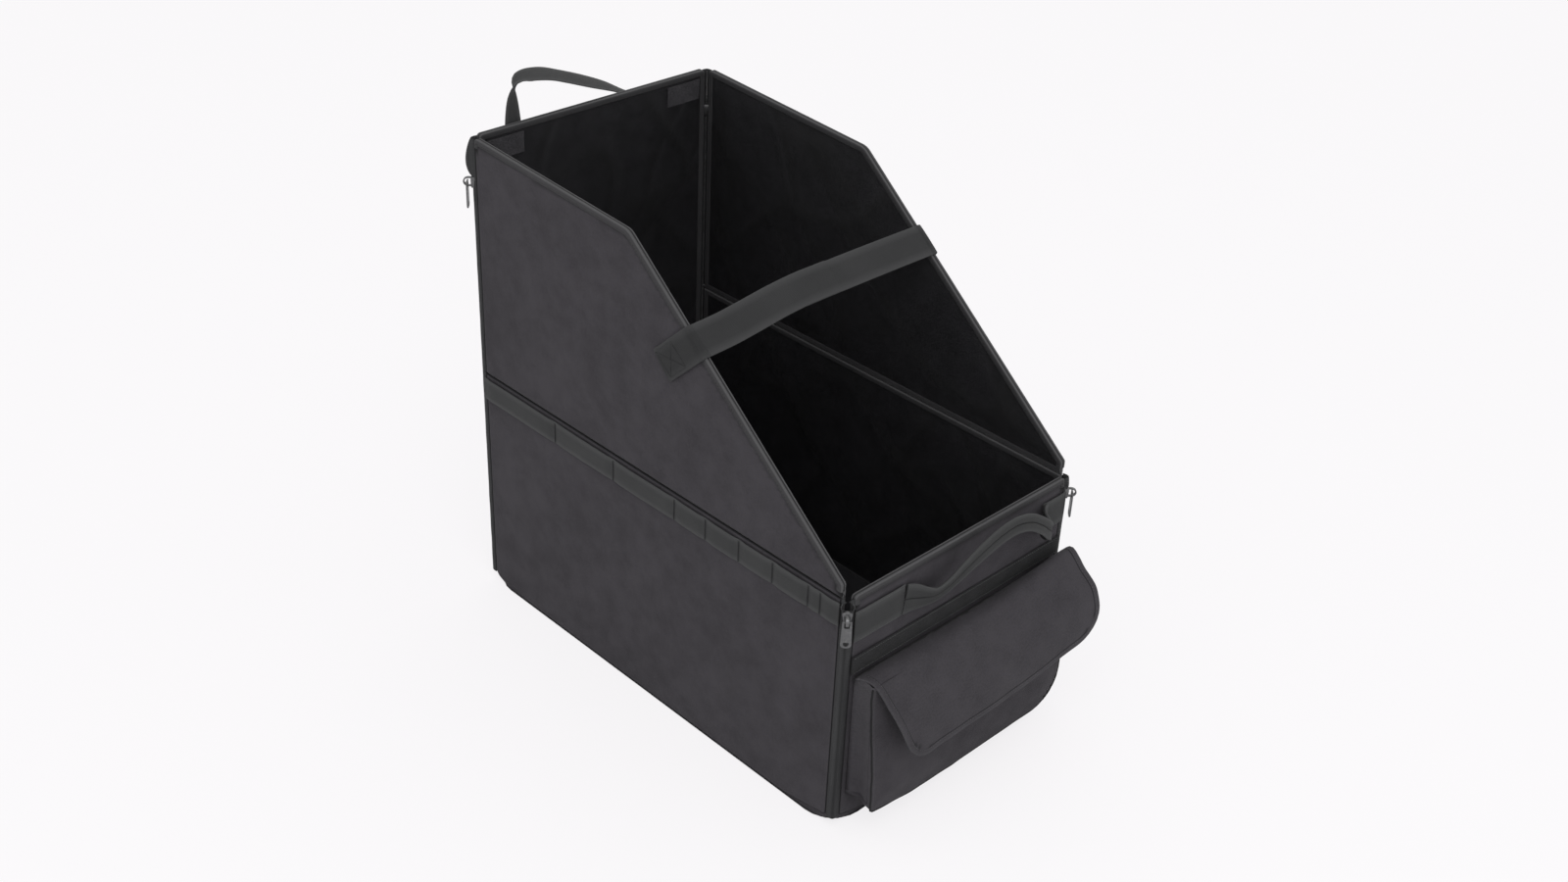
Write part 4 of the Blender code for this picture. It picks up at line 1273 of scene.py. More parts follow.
# %% [markdown]
# One strap closes the top. Each half is sewn flat to the outside of its upper panel, goes over
# the sloping edge and crosses to the middle, where the left half lies on the right. The sewn
# part and the free part are made as two pieces on the upper panel.

# %% The strap over the slope
SLOPE = (Vector((0, -END_Y, NOSE_Z)) - Vector((0, *KINK))).normalized()
SLOPE_UP = Vector((0, SLOPE.z, -SLOPE.y))
STRAP_MIDDLE = Vector((0, *KINK)) + SLOPE * 0.126
STRAP_WIDTH, STRAP_THICK = 0.038, 0.0015
SHOULDER = 0.1674


def strap_lean(side, x, height):
    """How far down the slope the left half has slipped, which is most where it turns over."""
    if side == "right":
        return 0.0
    return 0.0085 * (1 + height / 0.065 if height < 0 else smooth_step(abs(x), 0.020, 0.160))


def strap_piece(side, heights, shade):
    """A ribbon through (x, height over the slope's edge) pairs, as seen along the slope."""
    sign = -1 if side == "left" else 1
    places = []
    for x, height in heights:
        lean = strap_lean(side, x, height)
        places.append(STRAP_MIDDLE + Vector((sign * x, 0, 0)) + SLOPE_UP * height + SLOPE * lean)
    rows = smooth_path([tuple(place) for place in places], 0.004)
    sides, faces = [], []
    for along in tangents(rows):
        across = (SLOPE - along * SLOPE.dot(along)).normalized()
        sides.append(across)
        faces.append(across.cross(along) * -sign)
    path = [Vector(row) for row in rows]
    return ribbon(path, sides, faces, STRAP_WIDTH, STRAP_THICK, 0.0003, shade)


OUTER_FACE = HALF_WIDTH + 0.0020
for side, sign in (("left", -1), ("right", 1)):
    sewn = [
        (OUTER_FACE, -0.065), (OUTER_FACE + 0.0001, -0.045), (OUTER_FACE + 0.0001, -0.020),
        (OUTER_FACE + 0.0003, -0.004), (OUTER_FACE - 0.0008, 0.0007), (0.1726, 0.0018),
        (SHOULDER + 0.001, 0.0016),
    ]
    tip, lift = (-0.020, 0.0070) if side == "left" else (-0.030, 0.0048)
    free = [(SHOULDER + 0.001, 0.0016)]
    for share in (0.18, 0.36, 0.55, 0.75, 0.9, 1.0):
        x = SHOULDER + (tip - SHOULDER) * share
        free.append((x, 0.0016 + lift * (1 - (x / SHOULDER) ** 2)))
    upper = f"side_{side}_upper"
    piece = finished(strap_piece(side, sewn, 0.25), f"strap_{side}_sewn_end", upper,
                     STRAP_WEBBING, [f"strap_{side}"])
    piece = finished(strap_piece(side, free, 0.0), f"strap_{side}_free_end", upper,
                     STRAP_WEBBING, [f"strap_{side}"])
    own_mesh(piece)
print("strap: 2 halves,", round(STRAP_WIDTH * 1000), "mm wide")

# %% [markdown]
# Each corner is closed by a zip whose coil is on the inside, so the outside shows only its two
# woven tapes. They round the corner together. Above the slider the zip is open: the two free
# edges part and turn outward, and show the teeth.

# %% The zip tapes
FRONT_SLIDER_Z, REAR_SLIDER_Z = 0.278, 0.536
TAPE_LOW = 0.0128
FRONT_TAPE_TOP, REAR_TAPE_TOP = 0.2985, 0.5875
TAPE_COLUMNS = 8


def tape_point(side, end, on_side_wall, share, z):
    """A place on a tape: share is 0 at its seam and 1 at its free edge."""
    sign_x, sign_y = (-1 if side == "left" else 1), (-1 if end == "front" else 1)
    seam = Vector((0.1737, 0.2890)) if on_side_wall else Vector((0.1640, 0.2987))
    bend = Vector((0.1752, 0.2948)) if on_side_wall else Vector((0.1698, 0.3002))
    middle = Vector((0.1728, 0.2978))
    out = Vector((1, 1)).normalized()
    slider, top, spread, lift = (FRONT_SLIDER_Z, FRONT_TAPE_TOP, 0.0085, 0.0055)
    if end == "rear":
        slider, top, spread, lift = REAR_SLIDER_Z, REAR_TAPE_TOP, 0.0045, 0.0090
    above = min(max((z - slider - 0.006) / (top - slider - 0.006), 0), 1)
    parted = math.sin(math.pi * above**0.85) ** 0.8 if 0 < above < 1 else 0.0
    if side == "right" and end == "rear":
        parted *= 0.10
    place = seam.lerp(bend, share).lerp(bend.lerp(middle, share), share)
    place += (seam - middle).normalized() * spread * parted * share**1.5
    place += out * lift * parted * share**2
    place += out * 0.00025 * noise.noise(Vector((z * 45, sign_x * 3, sign_y * 5)))
    return Vector((sign_x * place.x, sign_y * place.y, z))


def tape(side, end, on_side_wall, low, high):
    count = round((high - low) / 0.0035)
    rings = []
    for step in range(count + 1):
        z = low + (high - low) * step / count
        shares = [column / TAPE_COLUMNS for column in range(TAPE_COLUMNS + 1)]
        rings.append([tape_point(side, end, on_side_wall, share, z) for share in shares])
    outward = Vector((-1 if side == "left" else 1, -1 if end == "front" else 1, 0))
    rub = [0.0] * TAPE_COLUMNS + [0.6]
    shade = [0.8, 0.1, 0.0, 0.0, 0.0, 0.0, 0.15, 0.45, 0.75]
    return facing(bent_grid(rings, closed=False, rubbed=rub, painted_shade=shade), outward)


ZIP_RUNS = []
for side in ("left", "right"):
    lower, upper = f"side_{side}_lower", f"side_{side}_upper"
    below, above = FOLD_Z - 0.0002, FOLD_Z + 0.0002
    ZIP_RUNS += [
        (side, "front", True, TAPE_LOW, below, lower, f"zip_front_{side}_side_tape"),
        (side, "rear", True, TAPE_LOW, below, lower, f"zip_rear_{side}_side_tape"),
        (side, "rear", True, above, REAR_TAPE_TOP, upper, f"zip_rear_{side}_upper_tape"),
        (side, "front", False, TAPE_LOW, FRONT_TAPE_TOP, "front_wall", f"zip_front_{side}_end_tape"),
        (side, "rear", False, TAPE_LOW, REAR_TAPE_TOP, "rear_wall", f"zip_rear_{side}_end_tape"),
    ]
for side, end, on_side_wall, low, high, body, node in ZIP_RUNS:
    shape = tape(side, end, on_side_wall, low, high)
    finished(shape, f"{node}_cloth", body, ZIP_TAPE, [node], 0.0006)
print("zip tapes:", len(ZIP_RUNS))
# %% [markdown]
# The pocket is one bag: its front sheet rounds over into a gusset that is sewn to the wall, with
# a thin piping in the seam between them. Cloth that holds nothing sags, so the front swells
# towards its lower edge and the gusset crumples. Three of its edges are extruded back to the
# wall in steps, and each step is moved a little.

# %% The pocket
POCKET_TOP = 0.199
POCKET_CORNERS = [
    (-0.158, 0.040, 0.006), (-0.0925, 0.030, 0), (-0.020, 0.0205, 0), (0.158, 0.020, 0.040),
    (0.158, POCKET_TOP, 0), (-0.158, POCKET_TOP, 0),
]
POCKET_OUT = 0.034
WALL_FACE = -0.3003
GUSSET_STEPS = 7


def pocket_front(x, z, span):
    """How far the pocket's front stands out from the wall."""
    low = smooth_step(z, 0.190, 0.06)
    slack = smooth_step(span, 0.003, 0.026)
    sag = 0.0035 * low * slack - 0.004 * (1 - low) + 0.006 * low * smooth_step(-x, 0.0, 0.12)
    fold = 0.0020 * waves(x, z, 61.0, 13, math.radians(20), 2.0)
    fine = 0.0009 * waves(x, z, 67.0, 42, math.radians(70), 2.5)
    return POCKET_OUT - 0.003 + sag + (fold + fine) * slack * (0.4 + 0.6 * low) - roll(span, 0.002)


def gusset_point(x, z, share):
    """A place on the gusset, from the front sheet's edge back to the wall."""
    slack = math.sin(math.pi * share)
    run = x + z
    hem = smooth_step(POCKET_TOP - z, 0.004, 0.020)
    crease = 0.0060 * noise.noise(Vector((run * 34, share * 2.2, 3.0)))
    pinch = 0.0025 + 0.0055 * (noise.noise(Vector((run * 17, share, 9.0))) + 0.3)
    inward = (pinch + crease) * slack * hem
    low = smooth_step(z, 0.055, 0.032) if x < 0 else smooth_step(z, 0.045, 0.022)
    push = Vector((-math.copysign(inward, x) * (1 - low), 0, inward * low * 0.5))
    front = pocket_front(x, z, 0.0)
    rise = 0.0026 * math.sqrt(max(slack, 0)) * smooth_step(z, POCKET_TOP - 0.020, POCKET_TOP)
    return Vector((x, WALL_FACE - front * (1 - share), z + rise)) + push, front, low


def pocket():
    shape, spans = cut_sheet(POCKET_CORNERS, 0.0055)
    sides = [(-0.158, 0.40, 0)] + POCKET_CORNERS[:4] + [(0.158, 0.40, 0)]
    line = [point for group in rounded(sides[1:] + sides[:1]) for point in group]
    spans = distances([vertex.co.xy for vertex in shape.verts], line)
    layer = shape.loops.layers.uv.new("threads")
    worn = shape.verts.layers.float.new("rubbed")
    flat = {}
    for vertex, span in zip(shape.verts, spans):
        x, z = vertex.co.x, vertex.co.y
        flat[vertex] = (x, z)
        vertex[worn] = 0.8 * (1 - smooth_step(span, 0.0, 0.005))
        vertex.co = (x, WALL_FACE - pocket_front(x, z, span), z)
    edge = [e for e in shape.edges
            if e.is_boundary and not all(flat[v][1] > POCKET_TOP - 0.0005 for v in e.verts)]
    where = {v: flat[v] for e in edge for v in e.verts}
    for step in range(1, GUSSET_STEPS + 1):
        made = bmesh.ops.extrude_edge_only(shape, edges=edge)["geom"]
        edge = [item for item in made if isinstance(item, bmesh.types.BMEdge)
                and all(v not in where for v in item.verts)]
        for vertex in [item for item in made if isinstance(item, bmesh.types.BMVert)]:
            old = next(e.other_vert(vertex) for e in vertex.link_edges
                       if e.other_vert(vertex) in where)
            where[vertex] = where[old]
            x, z = where[vertex]
            share = step / GUSSET_STEPS
            vertex.co, front, low = gusset_point(x, z, share)
            flat[vertex] = (x + math.copysign(share * front, x) * (1 - low), z - share * front * low)
            hem = 0.9 * (1 - smooth_step(POCKET_TOP - z, 0.007, 0.010))
            vertex[worn] = max(0.3 * (1 - math.sin(math.pi * share)), hem)
    for face in shape.faces:
        for loop in face.loops:
            loop[layer].uv = flat[loop.vert]
    bmesh.ops.recalc_face_normals(shape, faces=shape.faces)
    shape.faces.ensure_lookup_table()
    biggest = max(shape.faces, key=lambda face: -face.calc_center_median().y)
    if biggest.normal.y > 0:
        bmesh.ops.reverse_faces(shape, faces=shape.faces)
    return shape


piece = finished(pocket(), "pocket_cloth", "front_wall", OUTER_CLOTH,
                 ["pocket_bag"], 0.0010, 70)
print("pocket:", len(piece.data.polygons), "faces")

# %% [markdown]
# The flap is a stiffened cloth that springs up from its seam, curves over and hangs in front of
# the pocket, more to the right than to the left. Three profiles, drawn in height and distance
# from the wall, say how it hangs at its left edge, in its middle and at its right edge.

# %% The pocket's flap
FLAP_PROFILES = {
    -0.155: [(0, .199), (.007, .2028), (.015, .2036), (.0215, .2014), (.0275, .1968),
             (.0325, .189), (.038, .177), (.045, .163), (.051, .147), (.057, .127), (.061, .105)],
    0.0: [(0, .198), (.008, .2020), (.016, .2045), (.024, .2040), (.0315, .1985), (.039, .1895),
          (.048, .176), (.058, .158), (.064, .139), (.066, .118)],
    0.160: [(0, .198), (.0115, .2160), (.020, .2205), (.030, .2135), (.040, .2045),
            (.051, .1975), (.0605, .1895), (.0675, .1735), (.071, .155), (.0725, .137)],
}
FLAP_LENGTH = 0.138
FLAP_CORNERS = [
    (-0.126, -FLAP_LENGTH, 0.034), (0.160, -FLAP_LENGTH, 0.034), (0.166, 0.0, 0),
    (-0.163, 0.0, 0),
]


def flap_rows():
    """Each profile as even steps along its own length."""
    rows = {}
    for x, profile in FLAP_PROFILES.items():
        smooth = smooth_path([(out, z, 0.0) for out, z in profile], 0.002)
        run = np.concatenate([[0], np.cumsum(np.linalg.norm(np.diff(smooth, axis=0), axis=1))])
        even = np.linspace(0, run[-1], 80)
        rows[x] = np.stack([np.interp(even, run, smooth[:, i]) for i in (0, 1)], axis=1)
    return rows


def flap_place(rows, x, down):
    """The place on the flap at that distance across and down its length."""
    stations = sorted(rows)
    step = min(max(down / FLAP_LENGTH, 0), 1) * 79
    index, share = min(int(step), 78), step - min(int(step), 78)
    at = {s: rows[s][index] * (1 - share) + rows[s][index + 1] * share for s in stations}
    left, middle, right = stations
    weight = smooth_step(x, left, middle) if x < middle else smooth_step(x, middle, right)
    first, second = (at[left], at[middle]) if x < middle else (at[middle], at[right])
    out, z = first * (1 - weight) + second * weight
    slack = smooth_step(down, 0.01, 0.05) * smooth_step(x + 0.165, 0.0, 0.030)
    out += (0.0026 * waves(x, down, 71.0, 12, math.radians(60), 1.8)
            + 0.0010 * waves(x, down, 73.0, 40, math.radians(20), 2.0)) * slack
    return Vector((x, WALL_FACE - 0.0012 - out, z))


def pocket_flap():
    shape, spans = cut_sheet(FLAP_CORNERS, 0.0055, offsets=(0.0008, 0.003, 0.005, 0.0069, 0.0077, 0.0085))
    rows = flap_rows()
    layer = shape.loops.layers.uv.new("threads")
    worn = shape.verts.layers.float.new("rubbed")
    crease = shape.verts.layers.float.new("crease")
    flat = {}
    for vertex, span in zip(shape.verts, spans):
        x, down = vertex.co.x, -vertex.co.y
        flat[vertex] = (x, -down)
        free = smooth_step(down, 0.008, 0.012)
        vertex[worn] = max(0.30, 1 - smooth_step(span, 0.0, 0.003))
        # Painted shade: a ragged dark band along the flap's root is painted shadow, and the hem's stitch
        # line is painted dark as shade in its groove.
        hem_groove_shade = 0.85 * free * (1 - smooth_step(abs(span - 0.0077), 0.0002, 0.0008))
        reach = 0.0045 + 0.0045 * noise.noise(Vector((x * 90, 1.0, 4.0))) - 0.012 * abs(x)
        vertex[crease] = max(hem_groove_shade, 1 - smooth_step(down, reach, reach + 0.0022))
        hem = 0.0006 * free * (1 - smooth_step(span, 0.0069, 0.0077))
        vertex.co = flap_place(rows, x, down) + Vector((0, -0.7, 0.5)) * hem
    for face in shape.faces:
        for loop in face.loops:
            loop[layer].uv = flat[loop.vert]
    bmesh.ops.recalc_face_normals(shape, faces=shape.faces)
    return facing(shape, Vector((0, -1, 1)))


piece = finished(pocket_flap(), "pocket_flap_cloth", "pocket_flap", OUTER_CLOTH,
                 ["pocket_flap"], 0.0018)
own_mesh(piece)

# %% [markdown]
# Stitches are tiny, and there are a few thousand, so one small ball of twenty faces is made
# once. A copy of it is stretched along the seam for every stitch, and all the stitches
# on one body become one mesh. The zips' coils are made the same way from a rounder copy.

# %% Sew along a line
THREAD_LENGTH, THREAD_WIDTH = 0.0024, 0.00055


def ball_template():
    shape = bmesh.new()
    bmesh.ops.create_icosphere(shape, subdivisions=1, radius=0.5)
    mesh = bpy.data.meshes.new("stitch_template")
    shape.to_mesh(mesh)
    shape.free()
    return mesh


BALL = ball_template()


def many(places, size):
    """One mesh of stretched balls. A place is a point, the way along and the way out."""
    shape = bmesh.new()
    for point, along, out in places:
        along = Vector(along).normalized()
        side = Vector(out).cross(along).normalized()
        turn = Matrix((along * size[0], side * size[1], along.cross(side) * -size[2])).transposed()
        start = len(shape.verts)
        shape.from_mesh(BALL)
        shape.verts.ensure_lookup_table()
        fresh = shape.verts[start:]
        bmesh.ops.transform(shape, matrix=Matrix.Translation(point) @ turn.to_4x4(), verts=fresh)
    bmesh.ops.recalc_face_normals(shape, faces=shape.faces)
    return shape


def seam(points, outs, pitch=0.0034):
    """Places for stitches at even distances along a line of points."""
    run = lengths_along(points)
    places = []
    for number in range(int(run[-1] / pitch)):
        reach = (number + 0.5) * pitch
        k = max(i for i, length in enumerate(run[:-1]) if length <= reach)
        share = (reach - run[k]) / max(run[k + 1] - run[k], 1e-9)
        out = outs[k] if isinstance(outs, list) else outs
        places.append((points[k].lerp(points[k + 1], share), points[k + 1] - points[k], out))
    return places


def sew(name, body, places, cloth=THREAD, size=None):
    length = size or (THREAD_LENGTH, THREAD_WIDTH, THREAD_WIDTH * 0.8)
    return finished(many(places, length), name, body, cloth)


def wall_line(wall, spots, depth):
    """Points on a wall through (a, b) spots, close enough to follow its waves."""
    points = []
    for (a, b), (c, d) in zip(spots, spots[1:]):
        parts = max(1, math.ceil(math.hypot(c - a, d - b) / 0.02))
        points += [wall.place(a + (c - a) * t / parts, b + (d - b) * t / parts, depth)
                   for t in range(parts + 1)]
    return points


# %% [markdown]
# Every top binding is held by one row of stitches through both faces. The strips of pile and
# the ends of the bands are sewn round their edges, in a paler thread that the photograph
# shows as dashes. Bar tacks are short dense columns across the side bands.

# %% Stitch the walls
def binding_seams(wall, run):
    """The two rows that hold a top binding, outside and inside."""
    places = []
    for depth, way in ((-0.0002, 1), (0.0078, -1)):
        line = edge_line(wall.corners, *run, 0.0050)
        points = [wall.place(point.x, point.y, depth) for point in line]
        places += seam(points, wall.outward * way)
    return places


def crossed_box(wall, low, high, depth):
    """The square and its diagonals that hold the end of a strap."""
    (a, b), (c, d) = low, high
    lines = [[(a, b), (c, b), (c, d), (a, d), (a, b)], [(a, b), (c, d)], [(a, d), (c, b)]]
    return [place for line in lines
            for place in seam(wall_line(wall, line, depth), wall.outward, 0.0030)]


def front_rows(wall):
    """The pale rows on the front wall: along the pile strip and round the band's ends."""
    rows = [[(-END_X + 0.002, height), (END_X - 0.002, height)]
            for height in (PILE_LOW + 0.0018, PILE_HIGH - 0.0018)]
    for start, end in ((-END_X + 0.001, HANDLE_LEFT), (HANDLE_RIGHT, END_X - 0.001)):
        rows += [[(start, height), (end, height)] for height in (BAND_LOW + 0.002, BAND_HIGH - 0.002)]
    for seam_x, step in ((HANDLE_LEFT, -0.001), (HANDLE_RIGHT, 0.002)):
        for a in (seam_x + step, seam_x + 3 * step):
            rows.append([(a, BAND_LOW + 0.002), (a, BAND_HIGH - 0.002)])
    return [place for row in rows for place in seam(wall_line(wall, row, -0.0024), wall.outward)]


for name, wall in WALLS.items():
    kind = name.rsplit("_", 1)[-1]
    places = binding_seams(wall, TOP_RUNS[kind]) if kind in TOP_RUNS else []
    if kind == "lower":
        for tack in TACKS:
            for a in (tack - 0.0006, tack + 0.0006):
                column = [(a, STRIP_LOW + 0.001), (a, STRIP_HIGH - 0.001)]
                places += seam(wall_line(wall, column, -0.0021), wall.outward, 0.0016)
    if kind == "front":
        sew("front_band_stitches", wall.body, front_rows(wall), size=(0.0026, 0.0008, 0.0006))
    if kind == "rear":
        for sign in (-1, 1):
            low, high = (sign * 0.110 - 0.0105, 0.4965), (sign * 0.110 + 0.0105, 0.5365)
            places += crossed_box(wall, low, high, -0.0014)
    sew(f"{name}_stitches", wall.body, places, DARK_THREAD, size=(0.0024, 0.00060, 0.00050))
    print(name, len(places), "stitches")

# %% [markdown]
# The strap's sewn ends have the usual box with a cross in it. The strap lies at a slant on its
# wall, so its box is drawn along the slope.

# %% Stitch the strap
for side, sign in (("left", -1), ("right", 1)):
    wall = WALLS[f"side_{side}_upper"]

    def on_strap(along, height):
        along += strap_lean(side, OUTER_FACE, height)
        place = STRAP_MIDDLE + Vector((sign * (OUTER_FACE + 0.0014), 0, 0))
        return place + SLOPE * along + SLOPE_UP * height

    box = [(-0.0155, -0.0605), (0.0155, -0.0605), (0.0155, -0.0295), (-0.0155, -0.0295)]
    lines = [box + box[:1], [box[0], box[2]], [box[1], box[3]]]
    places = []
    for line in lines:
        points = [on_strap(*spot) for spot in line]
        places += seam(points, wall.outward, 0.0030)
    sew(f"strap_{side}_stitches", f"side_{side}_upper", places, DARK_THREAD)
print("strap boxes:", 2)

# %% [markdown]
# The flap has a seam eight millimetres inside its free edge, where its two layers were turned
# and topstitched. The pocket has piping round its front sheet, a welt that stands up a little
# and wanders, and a hem along its mouth.

# %% The flap's seam, the piping and the hem
def flap_seam():
    rows = flap_rows()
    line = edge_line(FLAP_CORNERS, 3, 2, 0.0064, 0.006)
    points, outs = [], []
    for spot in line:
        here = flap_place(rows, spot.x, -spot.y)
        right = flap_place(rows, spot.x + 0.004, -spot.y)
        lower = flap_place(rows, spot.x, -spot.y + 0.004)
        out = (here - right).cross(here - lower).normalized()
        if out.y > 0 or (abs(out.y) < 0.2 and out.z < 0):
            out = -out
        points.append(here + out * 0.0008)
        outs.append(out)
    return seam(points, outs)


piece = sew("pocket_flap_stitches", "pocket_flap", flap_seam())
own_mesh(piece)


def tube(path, radius, sides=8):
    """A round cord along a path of points."""
    rings = []
    for point, along in zip(path, tangents(path)):
        side = along.orthogonal().normalized() if abs(along.y) > 0.9 else along.cross(Vector((0, 1, 0)))
        side = side.normalized()
        other = along.cross(side)
        rings.append([point + side * (radius * math.cos(t)) + other * (radius * math.sin(t))
                      for t in [2 * math.pi * k / sides for k in range(sides)]])
    # Painted shade: the cord is painted nearly black, standing for the shadow along the pocket's seam.
    return bent_grid(rings, painted_shade=(0.9,))


def pocket_rim(x, z):
    """A point on the welt round the front sheet."""
    wander = (0.0011 if x < 0 else 0.0003) * noise.noise(Vector(((x + z) * 42, 8.0, 1.0)))
    return Vector((x, WALL_FACE - pocket_front(x, z, 0.0) - 0.0010 - wander, z))


outline = [(-0.158, z) for z in np.linspace(POCKET_TOP - 0.002, 0.052, 24)]
outline += [tuple(p) for p in edge_line(POCKET_CORNERS, 0, 3, 0.0, 0.006)]
outline += [(0.158, z) for z in np.linspace(0.066, POCKET_TOP - 0.002, 22)]
rim = []
for x, z in outline:
    sway = (0.0010 if x < 0 else 0.0003) * noise.noise(Vector(((x + z) * 60, 3.0, 5.0)))
    rim.append(pocket_rim(x, z) + Vector((math.copysign(0.0005, x) + sway, 0, 0)))
piping = tube([Vector(row) for row in smooth_path([tuple(point) for point in rim], 0.004)], 0.0011)
finished(piping, "pocket_piping", "front_wall", BINDING_TAPE, ["pocket_bag"])
hem_height = POCKET_TOP - 0.0085
hem_points = [Vector((x, WALL_FACE - pocket_front(x, hem_height, 0.03) - 0.0004, hem_height))
              for x in np.linspace(-0.150, 0.150, 60)]
places = seam(hem_points, Vector((0, -1, 0)))
for sign in (-1, 1):
    way = Vector((sign, 0, 0))
    line = [gusset_point(sign * 0.158, hem_height, share)[0] for share in np.linspace(0.05, 1, 14)]
    places += seam([point + way * 0.0003 for point in line], way)
sew("pocket_hem_stitches", "front_wall", places)
print("pocket: piping, hem and the flap's seam")

# %% [markdown]
# The coil of a zip is a row of small nylon loops, half of them on each tape, offset by half a
# step so that they mesh. They are sewn to the inside, and show where the zip is open.

# %% The coils and the tapes' seams
COIL_PITCH = 0.0022
for side, end, on_side_wall, low, high, body, node in ZIP_RUNS:
    outward = Vector((-1 if side == "left" else 1, -1 if end == "front" else 1, 0)).normalized()
    offset = 0.0 if on_side_wall else COIL_PITCH / 2
    loops, rows = [], []
    for number in range(int((high - low - 0.002) / COIL_PITCH)):
        z = low + 0.001 + offset + number * COIL_PITCH
        edge = tape_point(side, end, on_side_wall, 1.0, z)
        inner = tape_point(side, end, on_side_wall, 0.80, z)
        loops.append((edge - outward * 0.0012, edge - inner, outward))
    sew(f"{node}_coil", body, loops, ZIP_NYLON, (0.0026, 0.0016, 0.0018))
    for share in (0.16, 0.30):
        line = [tape_point(side, end, on_side_wall, share, z) for z in np.linspace(low, high, 60)]
        rows += seam([point + outward * 0.0001 for point in line], outward)
    sew(f"{node}_stitches", body, rows, ZIP_THREAD, (0.0024, 0.0005, 0.0004))
print("coils:", len(ZIP_RUNS))

# %% [markdown]
# A slider is a cast body with shoulders where the two tapes enter it. A crown arches out of it,
# and the puller hangs from that by its top bar. The puller is punched from sheet metal: its
# outline and its two holes are filled as one flat face, given a thickness and bevelled.

# %% Sliders and pullers
CROWN_OUT = 0.0117
SLIDER_RINGS = [
    (-0.0068, 0.0050, 0.0034), (-0.0064, 0.0064, 0.0050), (-0.0040, 0.0074, 0.0060),
    (0.0000, 0.0084, 0.0062), (0.0030, 0.0100, 0.0062), (0.0052, 0.0106, 0.0058),
    (0.0068, 0.0098, 0.0050), (0.0073, 0.0074, 0.0034),
]
CROWN_PATH = [
    (0.0058, 0.0046), (0.0085, 0.0048), (0.0112, 0.0046), (0.0136, 0.0036), (0.0149, 0.0018),
    (0.0153, 0.0), (0.0149, -0.0018), (0.0136, -0.0036), (0.0112, -0.0046), (0.0085, -0.0048),
    (0.0058, -0.0046),
]
PULLER_HALF, PULLER_LENGTH, PULLER_THICK = 0.0058, 0.0325, 0.0015


def slider_frame(side, end, out):
    """The corner's own directions, with X along the outside of it and Y out of it."""
    sign_x, sign_y = (-1 if side == "left" else 1), (-1 if end == "front" else 1)
    outward = Vector((sign_x, sign_y, 0)).normalized()
    sideways = outward.cross(Vector((0, 0, 1)))
    height = FRONT_SLIDER_Z if end == "front" else REAR_SLIDER_Z
    place = Vector((sign_x * 0.169, sign_y * 0.294, height)) + outward * out
    turn = Matrix((sideways, outward, sideways.cross(outward))).transposed().to_4x4()
    return Matrix.Translation(place) @ turn


def slider_body():
    rings = []
    for z, width, thick in SLIDER_RINGS:
        middle = Vector((0, 0.0010 + 0.0031, z))
        rings.append([middle + Vector((s * width, t * thick, 0)) for s, t in ROUND_BLOCK])
    shape = bent_grid(rings, rubbed=(0.0,))
    rows = smooth_path([(0.0, y, z) for y, z in CROWN_PATH], 0.0010)
    path = [Vector(row) for row in rows]
    outs = [Vector((0, -along.z, along.y)) for along in tangents(rows)]
    crown = ribbon(path, (1, 0, 0), outs, 0.0032, 0.0016)
    mesh = bpy.data.meshes.new("crown_template")
    crown.to_mesh(mesh)
    crown.free()
    shape.from_mesh(mesh)
    bpy.data.meshes.remove(mesh)
    return shape


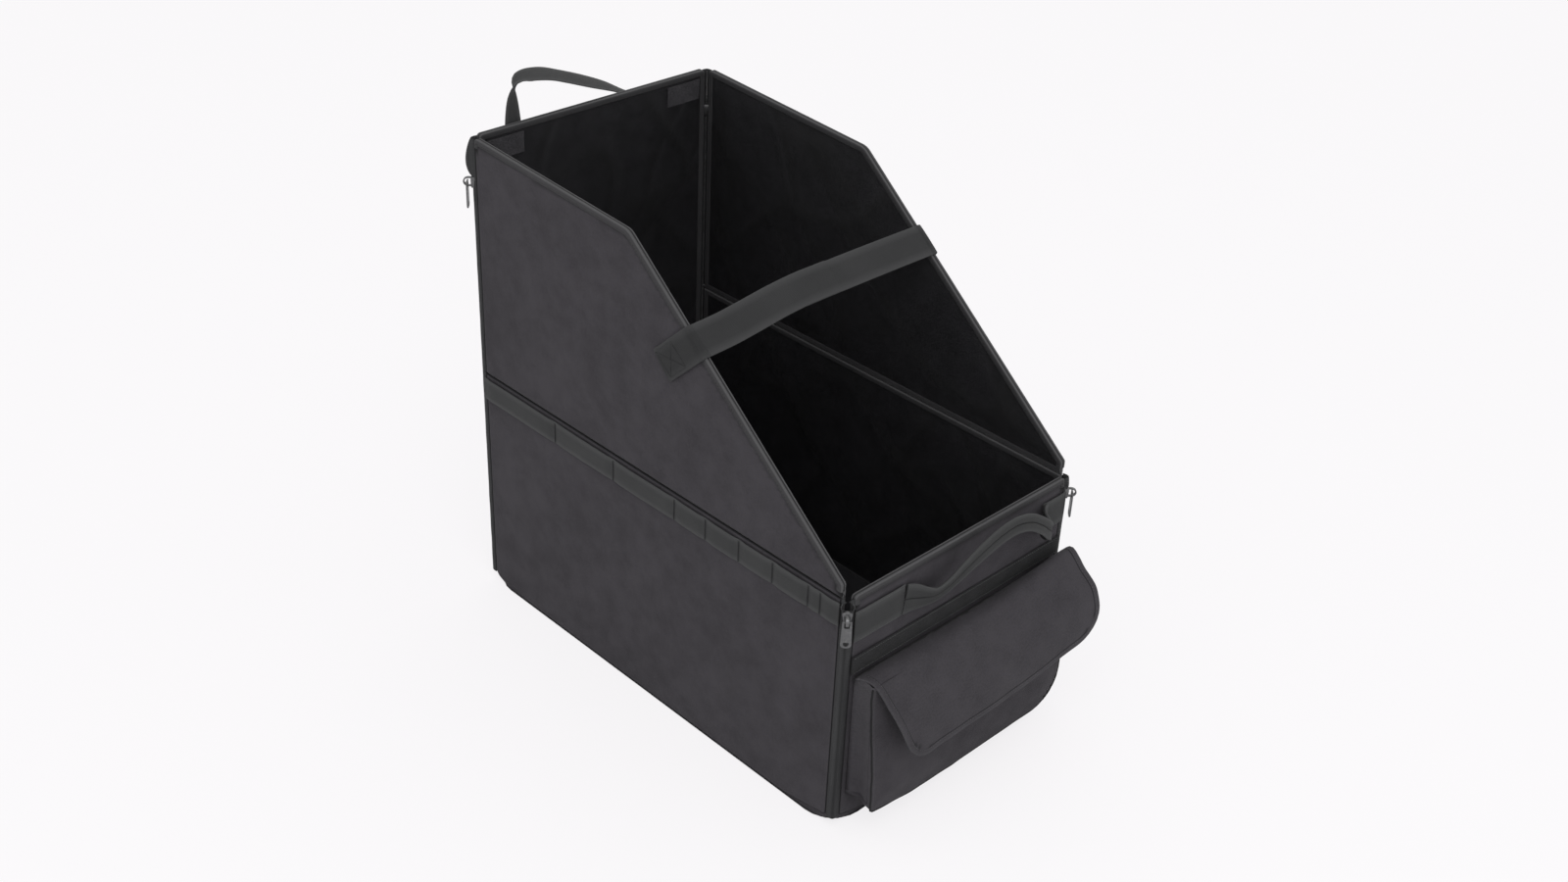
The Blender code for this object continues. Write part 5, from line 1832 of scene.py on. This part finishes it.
def punched_plate():
    """The puller in X and Z below its axis, standing on its middle plane."""
    top, low = 0.0009, 0.0009 - PULLER_LENGTH
    narrow = PULLER_HALF - 0.0009
    outer = [(-PULLER_HALF, low, 0.0046), (PULLER_HALF, low, 0.0046),
             (narrow, top, 0.0012), (-narrow, top, 0.0012)]
    window = [(-0.0028, -0.0072, 0.0008), (0.0028, -0.0072, 0.0008),
              (0.0028, -0.0009, 0.0006), (-0.0028, -0.0009, 0.0006)]
    ring = [(-0.0029, low + 0.0022, 0.0026), (0.0029, low + 0.0022, 0.0026),
            (0.0029, low + 0.0068, 0.0008), (-0.0029, low + 0.0068, 0.0008)]
    shape = bmesh.new()
    for corners in (outer, window, ring):
        points = [point for group in rounded(corners) for point in group]
        verts = [shape.verts.new((point.x, -PULLER_THICK / 2, point.y)) for point in points]
        for a, b in zip(verts, verts[1:] + verts[:1]):
            shape.edges.new((a, b))
    bmesh.ops.triangle_fill(shape, use_beauty=True, use_dissolve=False, edges=shape.edges[:])
    made = bmesh.ops.extrude_face_region(shape, geom=shape.faces[:])["geom"]
    moved = [item for item in made if isinstance(item, bmesh.types.BMVert)]
    bmesh.ops.translate(shape, vec=(0, PULLER_THICK, 0), verts=moved)
    bmesh.ops.recalc_face_normals(shape, faces=shape.faces)
    rims = [e for e in shape.edges if e.is_manifold and e.calc_face_angle() > 1.2]
    bmesh.ops.bevel(shape, geom=rims, offset=0.00030, segments=2, profile=0.5,
                    affect="EDGES", material=-1)
    return shape


ROUND_BLOCK = (
    arc((0.32, 0.32), 0.18, 0, 90, 3) + arc((-0.32, 0.32), 0.18, 90, 180, 3)
    + arc((-0.32, -0.32), 0.18, 180, 270, 3) + arc((0.32, -0.32), 0.18, 270, 360, 3)
)
for side in ("left", "right"):
    for end in ("front", "rear"):
        name = f"zip_{end}_{side}"
        shape = slider_body()
        bmesh.ops.transform(shape, matrix=slider_frame(side, end, 0.0), verts=shape.verts)
        bmesh.ops.recalc_face_normals(shape, faces=shape.faces)
        finished(shape, f"{name}_slider_metal", f"{name}_slider", ZIP_METAL,
                 [f"{name}_slider"], sharp=35)
        shape = punched_plate()
        bmesh.ops.transform(shape, matrix=slider_frame(side, end, CROWN_OUT), verts=shape.verts)
        bmesh.ops.recalc_face_normals(shape, faces=shape.faces)
        piece = finished(shape, f"{name}_puller_metal", f"{name}_puller", ZIP_METAL,
                         [f"{name}_puller"], sharp=35)
print("sliders:", 4, "pullers:", 4, "with", len(piece.data.polygons), "faces")
